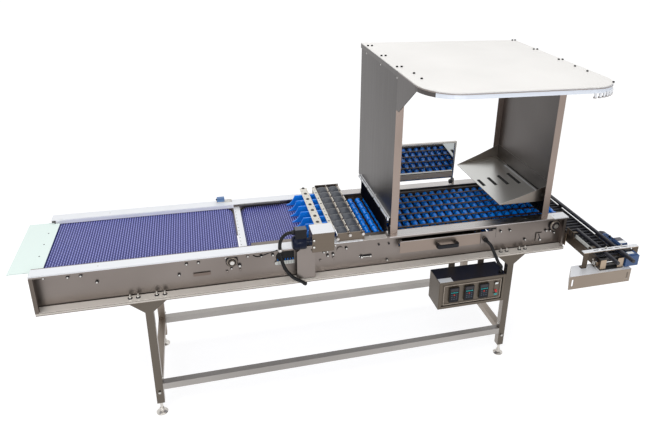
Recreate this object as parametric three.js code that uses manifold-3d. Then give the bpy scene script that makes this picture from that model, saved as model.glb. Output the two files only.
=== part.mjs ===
// Egg grading machine: infeed belt, lane dividers, orienting flaps, roller conveyor under an
// inspection hood, and a narrow rod conveyor across the outlet end. Millimetres, +Z up,
// +X along the travel of the eggs, operator side towards -Y, floor at Z = 0.
import * as THREE from 'three';
import { mergeVertices } from 'three/addons/utils/BufferGeometryUtils.js';
import Module from 'manifold-3d';

const wasm = await Module();
wasm.setup();

// General clearances and sheet sizes
const fit = 0.3;
const overrun = 2;
const sheet = 3;
const thinSheet = 2;

// Lanes and roller pitch
const laneCount = 6;
const lanePitch = 76.2;
const rollerPitch = 50;

// Bed: the two long side channels
const bed = {
  width: 650, length: 2917, top: 963, depth: 222, outstand: 50, lip: 62, endLip: 18,
};

// Places along the bed, as distances before its outlet end: a longer bed gets a longer infeed belt
const before = {
  standRight: 346, beltInfeedRight: 1935, beltLaneLeft: 1895, beltLaneRight: 1479,
  guideStripLeft: 1877, guideStripRight: 1655, beltWindowLeft: 1754, beltWindowRight: 1655,
  adjusterMiddle: 1255, adjusterOutlet: 146, dividerTip: 1621, dividerTop: 1571,
  dividerTail: 1428, dividerBarOne: 1503, dividerBarTwo: 1438, dividerHeel: 1479, flapFirst: 1423,
  flapMiddle: 1361, flapLast: 1290, flapBracketLeft: 1427, flapBracketRight: 1277,
  crankCoverLeft: 1571, crankCoverRight: 1452, crankMotorLeft: 1674, crankBoxLeft: 1661,
  crankBoxRight: 1601, crankPlateLeft: 1647, crankPlateStep: 1571, crankPlateRight: 1549,
  rollerDrive: 51, hoodLeft: 1123, hoodRight: 128, hoodTopLeft: 1127, hoodTopRight: 97,
  brush: 1136, mirrorLeft: 1012, mirrorRight: 502, trayFree: 431, trayFold: 159, drawerLeft: 1067,
  drawerRight: 572, drawerPanLeft: 1045, drawerPanRight: 594, handleLeft: 853, handleRight: 719,
  cableBoxLeft: 568, cableBoxRight: 492, cableBoxOpeningRight: 455, cableGland: 543,
  controlLeft: 807, controlRight: 369, controlDoorLeft: 785, controlDoorRight: 391,
  controlPadFirst: 709, controlSwitch: 431, controlHangerLeft: 690, controlHangerRight: 647,
  controlHangerSecond: 493, controlGland: 395, bridgeLeft: 71, endBoxLeft: 185,
};

// Places past the outlet end of the bed
const past = {
  crossLeft: 21, crossRight: 172, guardOuter: 173, guardInner: 73, bridgeRight: 297,
  endBoxRight: 221, gearMotor: 233,
};

function beforeEnd(distance) {
  return bed.length - distance;
}

function pastEnd(distance) {
  return bed.length + distance;
}

// Legs, feet and stretchers
const stand = {
  tube: 40, wall: 2, leftX: 508, rightX: beforeEnd(before.standRight), tubeBottom: 74,
  gussetHalf: 93, gussetDrop: 64, topPlate: 4, topPlateDepth: 50, stretcherTop: 204,
  footRadius: 31, footHeight: 14, footNeck: 13, stemRadius: 8, stemTop: 150,
};

// Infeed belt and lane belt
const belt = {
  top: 938, thickness: 10, endRadius: 47, halfWidth: 265, infeedLeft: 6,
  infeedRight: beforeEnd(before.beltInfeedRight), laneLeft: beforeEnd(before.beltLaneLeft),
  laneRight: beforeEnd(before.beltLaneRight), shaftRadius: 15, sprocketWidth: 24,
  sprocketSpacing: 200, arcSteps: 5,
};
const inlet = {
  left: -107, right: 16, top: 946, thickness: 4, halfWidth: 262, tongue: 60, tongueDrop: 14,
};
const transfer = { width: 34, thickness: 4, top: 940, rib: 6, ribDepth: 30 };
const guideStrip = {
  width: 28, thickness: 6, left: beforeEnd(before.guideStripLeft),
  right: beforeEnd(before.guideStripRight),
};

// Flange bearings on the side channels
const bearing = { radius: 29, height: 14, shaftStub: 6, innerHeight: 5 };

// Opening in the front web that shows the lane belt, with a rounded left end
const beltWindow = {
  left: beforeEnd(before.beltWindowLeft), right: beforeEnd(before.beltWindowRight), bottom: 846,
  top: 914,
};

// Slots of the chain adjusters in the front web
const adjuster = {
  middleX: beforeEnd(before.adjusterMiddle), middleZ: 824, middleLength: 70,
  outletX: beforeEnd(before.adjusterOutlet), outletZ: 811, outletLength: 54,
  outletTiltDegrees: 78, inletX: 50, inletZ: 917, inletLength: 34, inletSlotWidth: 12,
  inletTiltDegrees: 12, slotWidth: 11,
};

// Lane dividers hung on two cross bars above the belt
const divider = {
  tipX: beforeEnd(before.dividerTip), tipHeight: 4, topX: beforeEnd(before.dividerTop), top: 1002,
  thickness: 9, tailX: beforeEnd(before.dividerTail), bellyZ: 952,
  barOneX: beforeEnd(before.dividerBarOne), barOneWidth: 45,
  barTwoX: beforeEnd(before.dividerBarTwo), barTwoWidth: 22, barThickness: 5, shake: 6,
  heelX: beforeEnd(before.dividerHeel), heelLift: 7, heelRise: 10, postWidth: 16, postInset: 8,
  tipLift: 2,
};

// Rubber flaps that settle the eggs in their lanes
const flap = {
  count: 8, firstX: beforeEnd(before.flapFirst), middleX: beforeEnd(before.flapMiddle),
  lastX: beforeEnd(before.flapLast), valleyZ: 1004, crown: 16, thickness: 3, rodRadius: 4,
  arcSteps: 4,
};
const flapBracket = {
  left: beforeEnd(before.flapBracketLeft), right: beforeEnd(before.flapBracketRight), top: 1012,
  thickness: 3, foot: 40,
};

// Crank drive of the dividers
const crank = {
  coverLeft: beforeEnd(before.crankCoverLeft), coverRight: beforeEnd(before.crankCoverRight),
  coverTop: 1050, coverBottom: 935, coverFront: 364, coverBack: 262,
  motorLeft: beforeEnd(before.crankMotorLeft), motorRadius: 38, motorZ: 1000, motorY: 345,
  bell: 10, boxLeft: beforeEnd(before.crankBoxLeft), boxRight: beforeEnd(before.crankBoxRight),
  boxTop: 1082, boxDepth: 44, plateLeft: beforeEnd(before.crankPlateLeft),
  plateStep: beforeEnd(before.crankPlateStep), plateRight: beforeEnd(before.crankPlateRight),
  neckClear: 13, shoulderDrop: 60, plateBottom: 762, discRadius: 15, discThickness: 12,
  pinRadius: 4, shaftRadius: 9, glandZ: 1062,
};
const conduit = { radius: 9.5, sides: 8, steps: 22, glandRadius: 13, glandLength: 12 };

// Roller conveyor: bars with bobbins pinned between two side chains
const roller = {
  driveX: beforeEnd(before.rollerDrive), pitches: 27, centreZ: 935, bobbinRadius: 21,
  waistRadius: 12, pinRadius: 5, sprocketRadius: 50, chainInner: 232, chainOuter: 238,
  chainHeight: 16, chainLead: 10, discInner: 241, discOuter: 247, discRadius: 57, shaftRadius: 15,
  sides: 6, returnRadius: 17, endInset: 7, returnInset: 14, returnSides: 4, ledgeThickness: 4,
  ledgeClear: 64,
};

// Inspection hood
const hood = {
  leftX: beforeEnd(before.hoodLeft), rightX: beforeEnd(before.hoodRight), front: 307, back: 395,
  flange: 42, panelBottom: 1041, top: 1858, lug: 40, topLeft: beforeEnd(before.hoodTopLeft),
  topRight: beforeEnd(before.hoodTopRight), topFront: 755, topBack: 400, cornerRadius: 180,
  rimDepth: 26, rimThickness: 3, rimFlange: 22, plateThickness: 4, gussetReach: 280,
  gussetDrop: 175, gussetInset: 38, gussetClear: 0.5, shortReach: 60, shortDrop: 60,
};
const brush = {
  x: beforeEnd(before.brush), clipHeight: 18, clipWidth: 10, clipTop: 1062, bristleCount: 210,
  bristleRadius: 0.8, bottom: 959, halfWidth: 258, clipBack: 330, clipFront: 290,
};
const mirror = {
  left: beforeEnd(before.mirrorLeft), right: beforeEnd(before.mirrorRight), y: 296, pivotZ: 984,
  bottom: 1004, top: 1266, depth: 14, rim: 10, lowerRim: 50, glass: 4, leanDegrees: 4,
  earWidth: 12, earThickness: 12, pinRadius: 6, postGap: 3, postThickness: 6, postHalf: 12,
};
const tray = {
  freeX: beforeEnd(before.trayFree), foldX: beforeEnd(before.trayFold), front: 250, freeZ: 1048,
  foldZ: 1085, thickness: 2, backRise: 91, frontRise: 57, slotLength: 95, slotGrowth: 23,
  slotWidth: 14, slotCount: 4, slotBack: 116, slotPitch: 69, slotFirst: 28, bottomZ: 1046,
};

// Pull-out pan between the two runs of the roller conveyor
const drawer = {
  left: beforeEnd(before.drawerLeft), right: beforeEnd(before.drawerRight), bottom: 843, top: 920,
  panLeft: beforeEnd(before.drawerPanLeft), panRight: beforeEnd(before.drawerPanRight),
  panBottom: 861, panTop: 903, panBack: 210, wall: 2, rim: 12, runnerDrop: 8, runnerWidth: 18,
  sideGap: 2, openingBottom: 857, openingTop: 908,
};
const handle = {
  left: beforeEnd(before.handleLeft), right: beforeEnd(before.handleRight), z: 880, height: 44,
  reach: 30, grip: 12, foot: 20,
};
const cableBox = {
  left: beforeEnd(before.cableBoxLeft), right: beforeEnd(before.cableBoxRight), bottom: 843,
  top: 920, openingRight: beforeEnd(before.cableBoxOpeningRight),
};
const cableGland = { x: beforeEnd(before.cableGland), z: 872 };

// Control box hung under the front channel
const control = {
  left: beforeEnd(before.controlLeft), right: beforeEnd(before.controlRight), bottom: 422,
  top: 610, front: 325, back: 168, wall: 3, doorLeft: beforeEnd(before.controlDoorLeft),
  doorRight: beforeEnd(before.controlDoorRight), doorBottom: 440, doorTop: 592, doorThickness: 3,
  padWidth: 60, padHeight: 98, padDepth: 14, padFirst: beforeEnd(before.controlPadFirst),
  padPitch: 98, padZ: 516, padEdge: 6, switchX: beforeEnd(before.controlSwitch), switchZ: 530,
  switchWidth: 22, switchHeight: 66, switchDepth: 12, leverWidth: 12, leverThickness: 5,
  leverReach: 14, leverTiltDegrees: 25, leverZ: 503, drumRadius: 6,
  hangerLeft: beforeEnd(before.controlHangerLeft),
  hangerRight: beforeEnd(before.controlHangerRight),
  hangerSecond: beforeEnd(before.controlHangerSecond), hangerDepth: 40,
  glandX: beforeEnd(before.controlGland), glandY: 296,
};

// Cross conveyor at the outlet
const cross = {
  leftX: pastEnd(past.crossLeft), rightX: pastEnd(past.crossRight), front: 668, back: 330,
  plateTop: 848, plateBottom: 785, plate: 3, noseFlange: 38, rodPitch: 35, rodRadius: 6.5,
  rodZ: 843, rodCount: 24, sprocketRadius: 29.8, frontShaftY: 622, chainWidth: 6, chainHeight: 15,
  discWidth: 4, shaftRadius: 8, teeth: 5, bearingRadius: 27, bearingHeight: 12, bracketTop: 852,
  bracketBottom: 770, bracketReach: 34,
};
const guard = {
  radius: 10, outerX: pastEnd(past.guardOuter), innerX: pastEnd(past.guardInner), z: 868,
  front: 742, outerBack: 325, innerBack: 330,
};
const bridge = {
  left: beforeEnd(before.bridgeLeft), right: pastEnd(past.bridgeRight), y: 622, barBottom: 884,
  barTop: 902, depth: 26, leg: 30, legThickness: 4, slotLength: 44, slotWidth: 9, slotCount: 5,
};
const endBox = {
  left: beforeEnd(before.endBoxLeft), right: pastEnd(past.endBoxRight), top: 784, front: 692,
  back: 590, height: 84, sheet: 3, slotHeight: 44, slotWidth: 12, slotInset: 22, slant: 70,
};
const gearMotor = {
  x: pastEnd(past.gearMotor), boxHalf: 42, boxFront: 668, boxBack: 580, z: 813, motorRadius: 44,
  motorBack: 455, capLength: 20, footThickness: 6, terminalHeight: 28, terminalHalf: 26,
  terminalFront: 570, terminalBack: 500,
};

// Derived places
const halfWidth = bed.width / 2;
const bedBottom = bed.top - bed.depth;
const webOuter = halfWidth - bed.outstand;
const webInner = webOuter - sheet;
const lipInner = halfWidth - bed.lip;
const laneHalf = laneCount * lanePitch / 2;
const beltShaftZ = belt.top - belt.endRadius;
const wheelRadius = (belt.endRadius - belt.thickness) * Math.cos(Math.PI / belt.arcSteps / 4) - fit;
const rollerShaftZ = roller.centreZ - roller.sprocketRadius;
const rollerIdlerX = roller.driveX - roller.pitches * rollerPitch;
const returnZ = roller.centreZ - 2 * roller.sprocketRadius;
const crossShaftZ = cross.rodZ - cross.sprocketRadius;
const crossBackShaftY = cross.frontShaftY - cross.rodCount * cross.rodPitch;
const hoodPlateBottom = hood.top + hood.rimDepth;

// Solids. Ranges are [from, to]; outlines are pairs in the two remaining axes, in X, Y, Z order.
function toSolid(geometry) {
  const bare = geometry.clone();
  bare.deleteAttribute('normal');
  bare.deleteAttribute('uv');
  const merged = mergeVertices(bare);
  return new wasm.Manifold(new wasm.Mesh({
    numProp: 3,
    vertProperties: Float32Array.from(merged.attributes.position.array),
    triVerts: Uint32Array.from(merged.index.array),
  }));
}

function join(...solids) {
  return solids.flat().reduce((sum, next) => sum.add(next));
}

function cut(solid, ...tools) {
  return tools.flat().reduce((rest, tool) => rest.subtract(tool), solid);
}

function block(x, y, z) {
  const low = [Math.min(...x), Math.min(...y), Math.min(...z)];
  const high = [Math.max(...x), Math.max(...y), Math.max(...z)];
  const box = new THREE.BoxGeometry(high[0] - low[0], high[1] - low[1], high[2] - low[2]);
  box.translate((high[0] + low[0]) / 2, (high[1] + low[1]) / 2, (high[2] + low[2]) / 2);
  return toSolid(box);
}

const unit = {
  x: new THREE.Vector3(1, 0, 0),
  y: new THREE.Vector3(0, 1, 0),
  z: new THREE.Vector3(0, 0, 1),
};

function prism(axis, range, outline, curveSegments = 5) {
  const from = Math.min(...range);
  const to = Math.max(...range);
  const shape = outline instanceof THREE.Shape ? outline
    : new THREE.Shape(outline.map((p) => new THREE.Vector2(...p)));
  const depth = to - from;
  const geometry = new THREE.ExtrudeGeometry(shape, { depth, bevelEnabled: false, curveSegments });
  const frame = new THREE.Matrix4();
  if (axis === 'x') frame.makeBasis(unit.y, unit.z, unit.x).setPosition(from, 0, 0);
  if (axis === 'y') frame.makeBasis(unit.x, unit.z, unit.y.clone().negate()).setPosition(0, to, 0);
  if (axis === 'z') frame.setPosition(0, 0, from);
  return toSolid(geometry.applyMatrix4(frame));
}

// A revolved profile of [radius, distance along the axis] pairs round a line through place
function turned(axis, place, profile, sides, phase = 0) {
  const geometry = new THREE.LatheGeometry(profile.map((p) => new THREE.Vector2(...p)), sides, phase);
  if (axis === 'x') geometry.rotateZ(-Math.PI / 2);
  if (axis === 'z') geometry.rotateX(Math.PI / 2);
  return toSolid(geometry.translate(...place));
}

function round(axis, range, centre, radius, sides = 16, phase = 0) {
  const from = Math.min(...range);
  const to = Math.max(...range);
  const place = { x: [0, ...centre], y: [centre[0], 0, centre[1]], z: [...centre, 0] }[axis];
  return turned(axis, place, [[0, from], [radius, from], [radius, to], [0, to]], sides, phase);
}

// A bore for a turning shaft: the flats of its outline clear the shaft all round
function bore(axis, range, centre, radius, sides = 8) {
  return round(axis, range, centre, (radius + fit) / Math.cos(Math.PI / sides), sides, Math.PI / sides);
}

function tubeAlong(points, radius, sides, steps) {
  const curve = new THREE.CatmullRomCurve3(points.map((p) => new THREE.Vector3(...p)));
  const section = new THREE.Shape();
  for (let i = 0; i < sides; i += 1) {
    const angle = 2 * Math.PI * i / sides;
    const place = [radius * Math.cos(angle), radius * Math.sin(angle)];
    if (i) section.lineTo(...place);
    else section.moveTo(...place);
  }
  return toSolid(new THREE.ExtrudeGeometry(section, { steps, bevelEnabled: false, extrudePath: curve }));
}

// The y range on one side of the bed: side is -1 at the front and 1 at the back
function sideRange(side, inner, outer) {
  return [side * inner, side * outer];
}

// Finishes
function finish(color, roughness, metalness) {
  return () => new THREE.MeshStandardMaterial({ color, roughness, metalness, flatShading: true });
}
const stainless = finish(0xaaa096, 0.38, 0.9);
const brightSteel = finish(0xd6d4d0, 0.3, 0.9);
const blackPlastic = finish(0x1b1c20, 0.5, 0);
const rubber = finish(0x3c3e44, 0.8, 0);
const beltPlastic = finish(0x46419a, 0.5, 0);
const bluePlastic = finish(0x0064dc, 0.35, 0);
const motorPaint = finish(0x24406e, 0.4, 0.2);
const mintPlate = finish(0xe1f0eb, 0.3, 0);
const whitePlate = finish(0xebe9e6, 0.5, 0);
const silvered = finish(0xdfe6ea, 0.05, 1);

const machine = new THREE.Group();

function place(name, solid, material, parent = machine) {
  const data = solid.getMesh();
  const geometry = new THREE.BufferGeometry();
  geometry.setAttribute('position', new THREE.BufferAttribute(Float32Array.from(data.vertProperties), 3));
  geometry.setIndex(new THREE.BufferAttribute(Uint32Array.from(data.triVerts), 1));
  geometry.computeVertexNormals();
  const mesh = new THREE.Mesh(geometry, material());
  mesh.name = name;
  parent.add(mesh);
  return mesh;
}

// Shaft places along the bed: the two driven shafts run through flange bearings outside the
// webs, the other ones end in plain bearings on the inner faces
const bedShafts = [
  { x: belt.infeedLeft + belt.endRadius, z: beltShaftZ, radius: belt.shaftRadius, through: false },
  { x: belt.infeedRight - belt.endRadius, z: beltShaftZ, radius: belt.shaftRadius, through: true },
  { x: belt.laneLeft + belt.endRadius, z: beltShaftZ, radius: belt.shaftRadius, through: false },
  { x: belt.laneRight - belt.endRadius, z: beltShaftZ, radius: belt.shaftRadius, through: false },
  { x: rollerIdlerX, z: rollerShaftZ, radius: roller.shaftRadius, through: false },
  { x: roller.driveX, z: rollerShaftZ, radius: roller.shaftRadius, through: true },
];
const bearingOuter = webOuter + bearing.height;
const bearingInner = webInner - bearing.innerHeight;
const shaftEnd = { through: bearingOuter + bearing.shaftStub, plain: webInner - fit };

// Side channels: C-section opening outwards, closed by a return at each end, with the lip
// turned in over the belt, chain ledges inside and a flange bearing at each shaft
function sideChannel(side) {
  const flanges = sideRange(side, webInner, halfWidth);
  const parts = [
    block([0, bed.length], sideRange(side, webInner, webOuter), [bedBottom, bed.top]),
    block([0, bed.length], sideRange(side, lipInner, halfWidth), [bed.top - sheet, bed.top]),
    block([0, bed.length], flanges, [bedBottom, bedBottom + sheet]),
  ];
  const ends = [[0, sheet, bed.endLip], [bed.length, bed.length - sheet, bed.length - bed.endLip]];
  for (const [face, inner, lipEdge] of ends) {
    parts.push(block([face, inner], flanges, [bedBottom, bed.top]));
    parts.push(block([face, lipEdge], sideRange(side, halfWidth - sheet, halfWidth), [bedBottom, bed.top]));
  }
  const ledge = [rollerIdlerX + roller.ledgeClear, roller.driveX - roller.ledgeClear];
  for (const runZ of [roller.centreZ, returnZ]) {
    const ledgeTop = runZ - roller.chainHeight / 2 - fit;
    parts.push(block(ledge, sideRange(side, roller.chainInner, webOuter),
      [ledgeTop - roller.ledgeThickness, ledgeTop]));
  }
  for (const { x, z, through } of bedShafts) {
    const range = through ? [webInner, bearingOuter] : [bearingInner, webOuter];
    parts.push(round('y', sideRange(side, ...range), [x, z], bearing.radius, 12));
  }
  const bores = bedShafts.map(({ x, z, radius, through }) => bore('y',
    sideRange(side, bearingInner - overrun, through ? bearingOuter + overrun : webInner), [x, z], radius));
  return cut(join(parts), bores);
}

// Slots of the chain adjusters: X, Z, length, width and tilt in degrees
const adjusterSlots = [
  [adjuster.middleX, adjuster.middleZ, adjuster.middleLength, adjuster.slotWidth, 0],
  [adjuster.outletX, adjuster.outletZ, adjuster.outletLength, adjuster.slotWidth,
    adjuster.outletTiltDegrees],
  [adjuster.inletX, adjuster.inletZ, adjuster.inletLength, adjuster.inletSlotWidth,
    adjuster.inletTiltDegrees],
];

function slotTool(axis, range, centre, length, width, tilt) {
  const run = (length - width) / 2;
  const shape = new THREE.Shape();
  const turn = THREE.MathUtils.degToRad(tilt);
  const quarter = Math.PI / 2;
  const along = [Math.cos(turn) * run, Math.sin(turn) * run];
  const [x, y] = centre;
  shape.absarc(x + along[0], y + along[1], width / 2, turn - quarter, turn + quarter, false);
  shape.absarc(x - along[0], y - along[1], width / 2, turn + quarter, turn + 3 * quarter, false);
  return prism(axis, range, shape, 3);
}

function frontChannel() {
  const web = sideRange(-1, webInner - overrun, webOuter + overrun);
  const windowRound = (beltWindow.top - beltWindow.bottom) / 2;
  const runnerTop = drawer.panTop - thinSheet - fit;
  const runners = [drawer.panLeft - drawer.rim, drawer.panRight + drawer.rim].map((edge, i) => {
    const inward = i ? -drawer.runnerWidth : drawer.runnerWidth;
    const outer = i ? edge + drawer.runnerDrop : edge - drawer.runnerDrop;
    return join(
      block([outer, outer + inward], [-webInner, webInner - fit], [runnerTop - thinSheet, runnerTop]),
      block([outer, outer + Math.sign(inward) * thinSheet], [-webOuter, webInner - fit],
        [runnerTop - drawer.runnerDrop, runnerTop]),
    );
  });
  const cableZ = [cableBox.bottom, cableBox.top];
  const cableFace = join(
    block([cableBox.left, cableBox.right], [-halfWidth, sheet - halfWidth], cableZ),
    block([cableBox.left, cableBox.left + sheet], [-halfWidth, -webInner], cableZ),
    block([cableBox.right - sheet, cableBox.right], [-halfWidth, -webInner], cableZ),
  );
  const strip = block([guideStrip.left, guideStrip.right], [-lipInner - sheet, guideStrip.width - lipInner],
    [bed.top - guideStrip.thickness, bed.top - fit]);
  const panCut = drawer.rim + drawer.sideGap;
  const cuts = [
    block([beltWindow.left + windowRound, beltWindow.right], web, [beltWindow.bottom, beltWindow.top]),
    round('y', web, [beltWindow.left + windowRound, (beltWindow.top + beltWindow.bottom) / 2], windowRound),
    block([drawer.panLeft - panCut, drawer.panRight + panCut], web,
      [drawer.openingBottom, drawer.openingTop]),
    block([cableBox.left + sheet, cableBox.openingRight], web, [drawer.openingBottom, drawer.openingTop]),
    ...adjusterSlots.map(([x, z, ...slot]) => slotTool('y', web, [x, z], ...slot)),
  ];
  const gland = round('y', sideRange(-1, halfWidth - sheet, halfWidth + conduit.glandLength),
    [cableGland.x, cableGland.z], conduit.glandRadius, 6);
  return join(cut(sideChannel(-1), cuts), runners, cableFace, strip, gland);
}

// The back channel also carries the two posts of the mirror
function backChannel() {
  const postX = [mirror.left - mirror.postGap - mirror.postThickness, mirror.right + mirror.postGap];
  const posts = postX.map((x) => cut(
    block([x, x + mirror.postThickness], [mirror.y - mirror.postHalf, mirror.y + mirror.postHalf],
      [bed.top - sheet, mirror.pivotZ + mirror.postHalf]),
    bore('x', [x - overrun, x + mirror.postThickness + overrun], [mirror.y, mirror.pivotZ],
      mirror.pinRadius),
  ));
  return join(sideChannel(1), posts);
}
place('side_channel_front', frontChannel(), stainless);
place('side_channel_back', backChannel(), stainless);

// Legs: square tube with a gusset and a bolting plate, and a levelling foot in its lower end
const legTop = bedBottom - fit;
const plateBottom = legTop - stand.topPlate;
const half = stand.tube / 2;
const legY = halfWidth - half;

function legSolid() {
  const inside = half - stand.wall;
  const tube = cut(
    block([-half, half], [-half, half], [stand.tubeBottom, plateBottom]),
    block([-inside, inside], [-inside, inside], [stand.tubeBottom + stand.wall, plateBottom - stand.wall]),
    bore('z', [stand.tubeBottom - overrun, stand.tubeBottom + 2 * stand.wall], [0, 0], stand.stemRadius),
  );
  const gusset = prism('y', [-half, sheet - half], [
    [-stand.gussetHalf, plateBottom], [stand.gussetHalf, plateBottom],
    [half, plateBottom - stand.gussetDrop], [-half, plateBottom - stand.gussetDrop],
  ]);
  const bolting = block([-stand.gussetHalf, stand.gussetHalf], [-half, stand.topPlateDepth - half],
    [plateBottom, legTop]);
  return join(tube, gusset, bolting);
}

function footSolid() {
  return turned('z', [0, 0, 0], [
    [0, 0], [stand.footRadius, 0], [stand.footRadius, stand.footHeight / 3],
    [stand.footNeck, stand.footHeight], [stand.stemRadius, stand.footHeight + stand.footNeck / 2],
    [stand.stemRadius, stand.stemTop], [0, stand.stemTop],
  ], 10);
}

for (const [end, x] of [['left', stand.leftX], ['right', stand.rightX]]) {
  for (const [row, side] of [['front', -1], ['back', 1]]) {
    const corner = new THREE.Group();
    corner.position.set(x, side * legY, 0);
    corner.rotation.z = side > 0 ? Math.PI : 0;
    place(`leg_${row}_${end}`, legSolid(), stainless, corner);
    place(`foot_${row}_${end}`, footSolid(), brightSteel, corner);
    machine.add(corner);
  }
}

// Stretchers along and across between the legs, open-ended square tube
function hollowBar(axis, length, outer, wall) {
  const end = length / 2;
  const outside = outer / 2;
  const inside = outside - wall;
  const ranges = (r, e) => (axis === 'x' ? [[-e, e], [-r, r], [-r, r]] : [[-r, r], [-e, e], [-r, r]]);
  return cut(block(...ranges(outside, end)), block(...ranges(inside, end + overrun)));
}

const stretcherZ = stand.stretcherTop - half;
const stretcherLength = stand.rightX - stand.leftX - stand.tube - 2 * fit;
const crossMemberLength = 2 * legY - stand.tube - 2 * fit;
for (const [row, side] of [['front', -1], ['back', 1]]) {
  place(`stretcher_${row}`, hollowBar('x', stretcherLength, stand.tube, stand.wall), stainless)
    .position.set((stand.leftX + stand.rightX) / 2, side * legY, stretcherZ);
}
for (const [end, x] of [['left', stand.leftX], ['right', stand.rightX]]) {
  place(`cross_member_${end}`, hollowBar('y', crossMemberLength, stand.tube, stand.wall), stainless)
    .position.set(x, 0, stretcherZ);
}

// Belts: closed loops round their end shafts
function beltLoop(left, right) {
  const loop = (radius, hole) => {
    const path = hole ? new THREE.Path() : new THREE.Shape();
    const quarter = Math.PI / 2;
    path.absarc(right - belt.endRadius, beltShaftZ, radius, -quarter, quarter, false);
    path.absarc(left + belt.endRadius, beltShaftZ, radius, quarter, 3 * quarter, false);
    return path;
  };
  const shape = loop(belt.endRadius, false);
  shape.holes.push(loop(belt.endRadius - belt.thickness, true));
  return prism('y', [-belt.halfWidth, belt.halfWidth], shape, belt.arcSteps);
}

function beltShaft(end) {
  const wheels = [-1, 0, 1].map((i) => {
    const middle = i * belt.sprocketSpacing;
    const range = [middle - belt.sprocketWidth / 2, middle + belt.sprocketWidth / 2];
    return round('y', range, [0, 0], wheelRadius, 8, Math.PI / belt.arcSteps / 4);
  });
  return join(round('y', [-end, end], [0, 0], belt.shaftRadius, 8), wheels);
}

place('infeed_belt', beltLoop(belt.infeedLeft, belt.infeedRight), beltPlastic);
place('lane_belt', beltLoop(belt.laneLeft, belt.laneRight), beltPlastic);
for (const [name, x, end] of [
  ['infeed_idler_shaft', belt.infeedLeft + belt.endRadius, shaftEnd.plain],
  ['infeed_drive_shaft', belt.infeedRight - belt.endRadius, shaftEnd.through],
  ['lane_idler_shaft', belt.laneLeft + belt.endRadius, shaftEnd.plain],
  ['lane_drive_shaft', belt.laneRight - belt.endRadius, shaftEnd.plain],
]) {
  place(name, beltShaft(end), brightSteel).position.set(x, 0, beltShaftZ);
}

// Inlet plate ahead of the belt, with a tongue at each side that bolts to the end returns
function inletPlate() {
  const tongueTop = inlet.top - inlet.thickness;
  const ears = [-1, 1].map((side) => block([-inlet.tongueDrop, -fit],
    sideRange(side, inlet.halfWidth - inlet.tongue, webOuter), [tongueTop - inlet.tongue, tongueTop]));
  const plate = block([inlet.left, inlet.right], [-inlet.halfWidth, inlet.halfWidth],
    [tongueTop, inlet.top]);
  return join(plate, ears);
}
place('inlet_plate', inletPlate(), mintPlate);

// Transfer plate between the two belts, on edge ribs that reach the webs
const transferX = (belt.infeedRight + belt.laneLeft) / 2;
place('transfer_plate', join(
  block([transferX - transfer.width / 2, transferX + transfer.width / 2], [fit - webInner, webInner - fit],
    [transfer.top - transfer.thickness, transfer.top]),
  block([transferX - transfer.rib / 2, transferX + transfer.rib / 2], [fit - webInner, webInner - fit],
    [transfer.top - transfer.ribDepth, transfer.top]),
), brightSteel);

// Lane dividers: swept plastic fins under two cross bars that the crank shakes across the lanes
function dividerFin(y) {
  const shape = new THREE.Shape();
  const tipZ = belt.top + divider.tipLift;
  const heelZ = roller.centreZ + roller.bobbinRadius + divider.heelLift;
  shape.moveTo(divider.tipX, tipZ);
  shape.lineTo(divider.heelX, tipZ);
  shape.lineTo(divider.heelX + divider.heelRise, heelZ);
  shape.lineTo(divider.tailX, heelZ);
  shape.lineTo(divider.tailX, divider.top);
  shape.lineTo(divider.topX, divider.top);
  shape.quadraticCurveTo((divider.tipX + divider.topX) / 2 + divider.thickness, divider.bellyZ,
    divider.tipX, tipZ + divider.tipHeight);
  return prism('y', [y - divider.thickness / 2, y + divider.thickness / 2], shape);
}

const barTop = divider.top + divider.barThickness;
const laneEdges = Array.from({ length: laneCount + 1 }, (_, i) => (i - laneCount / 2) * lanePitch);
const barReach = { back: halfWidth - divider.postInset, front: crank.coverBack + divider.shake + fit };

function dividerComb() {
  const fins = laneEdges.map((y) => dividerFin(y));
  const across = (x, width) => [x - width / 2, x + width / 2];
  const barY = [-barReach.front + 2 * divider.shake, barReach.back];
  const bars = [
    block(across(divider.barOneX, divider.barOneWidth), barY, [divider.top, barTop]),
    block(across(divider.barTwoX, divider.barTwoWidth), barY, [divider.top, barTop]),
  ];
  const shoes = [divider.barOneX, divider.barTwoX].map((x) => block(across(x, divider.postWidth),
    [barReach.back - divider.postWidth, barReach.back], [bed.top + fit, divider.top]));
  const yoke = block(across(divider.barOneX, divider.postWidth),
    [-crank.coverBack - divider.postWidth, -barReach.front + 3 * divider.shake], [divider.top, barTop]);
  return join(fins, bars, shoes, yoke);
}
place('lane_divider_comb', dividerComb(), bluePlastic);

// Flap rows: arched rubber flaps side by side, one row each side of the middle rod
function flapRow(from, to) {
  const width = lanePitch;
  const first = -flap.count * width / 2;
  const lower = [];
  const upper = [];
  for (let i = 0; i <= flap.count * flap.arcSteps; i += 1) {
    const y = first + i * width / flap.arcSteps;
    const lift = flap.crown * Math.abs(Math.sin(Math.PI * i / flap.arcSteps));
    lower.push([y, flap.valleyZ + lift]);
    upper.unshift([y, flap.valleyZ + lift + flap.thickness]);
  }
  return prism('x', [from, to], [...lower, ...upper]);
}

const rodX = [flap.middleX, flap.lastX];
place('flap_row_entry', flapRow(flap.firstX, flap.middleX), rubber);
place('flap_row_exit', flapRow(flap.middleX + flap.rodRadius + fit, flap.lastX), rubber);

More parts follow.
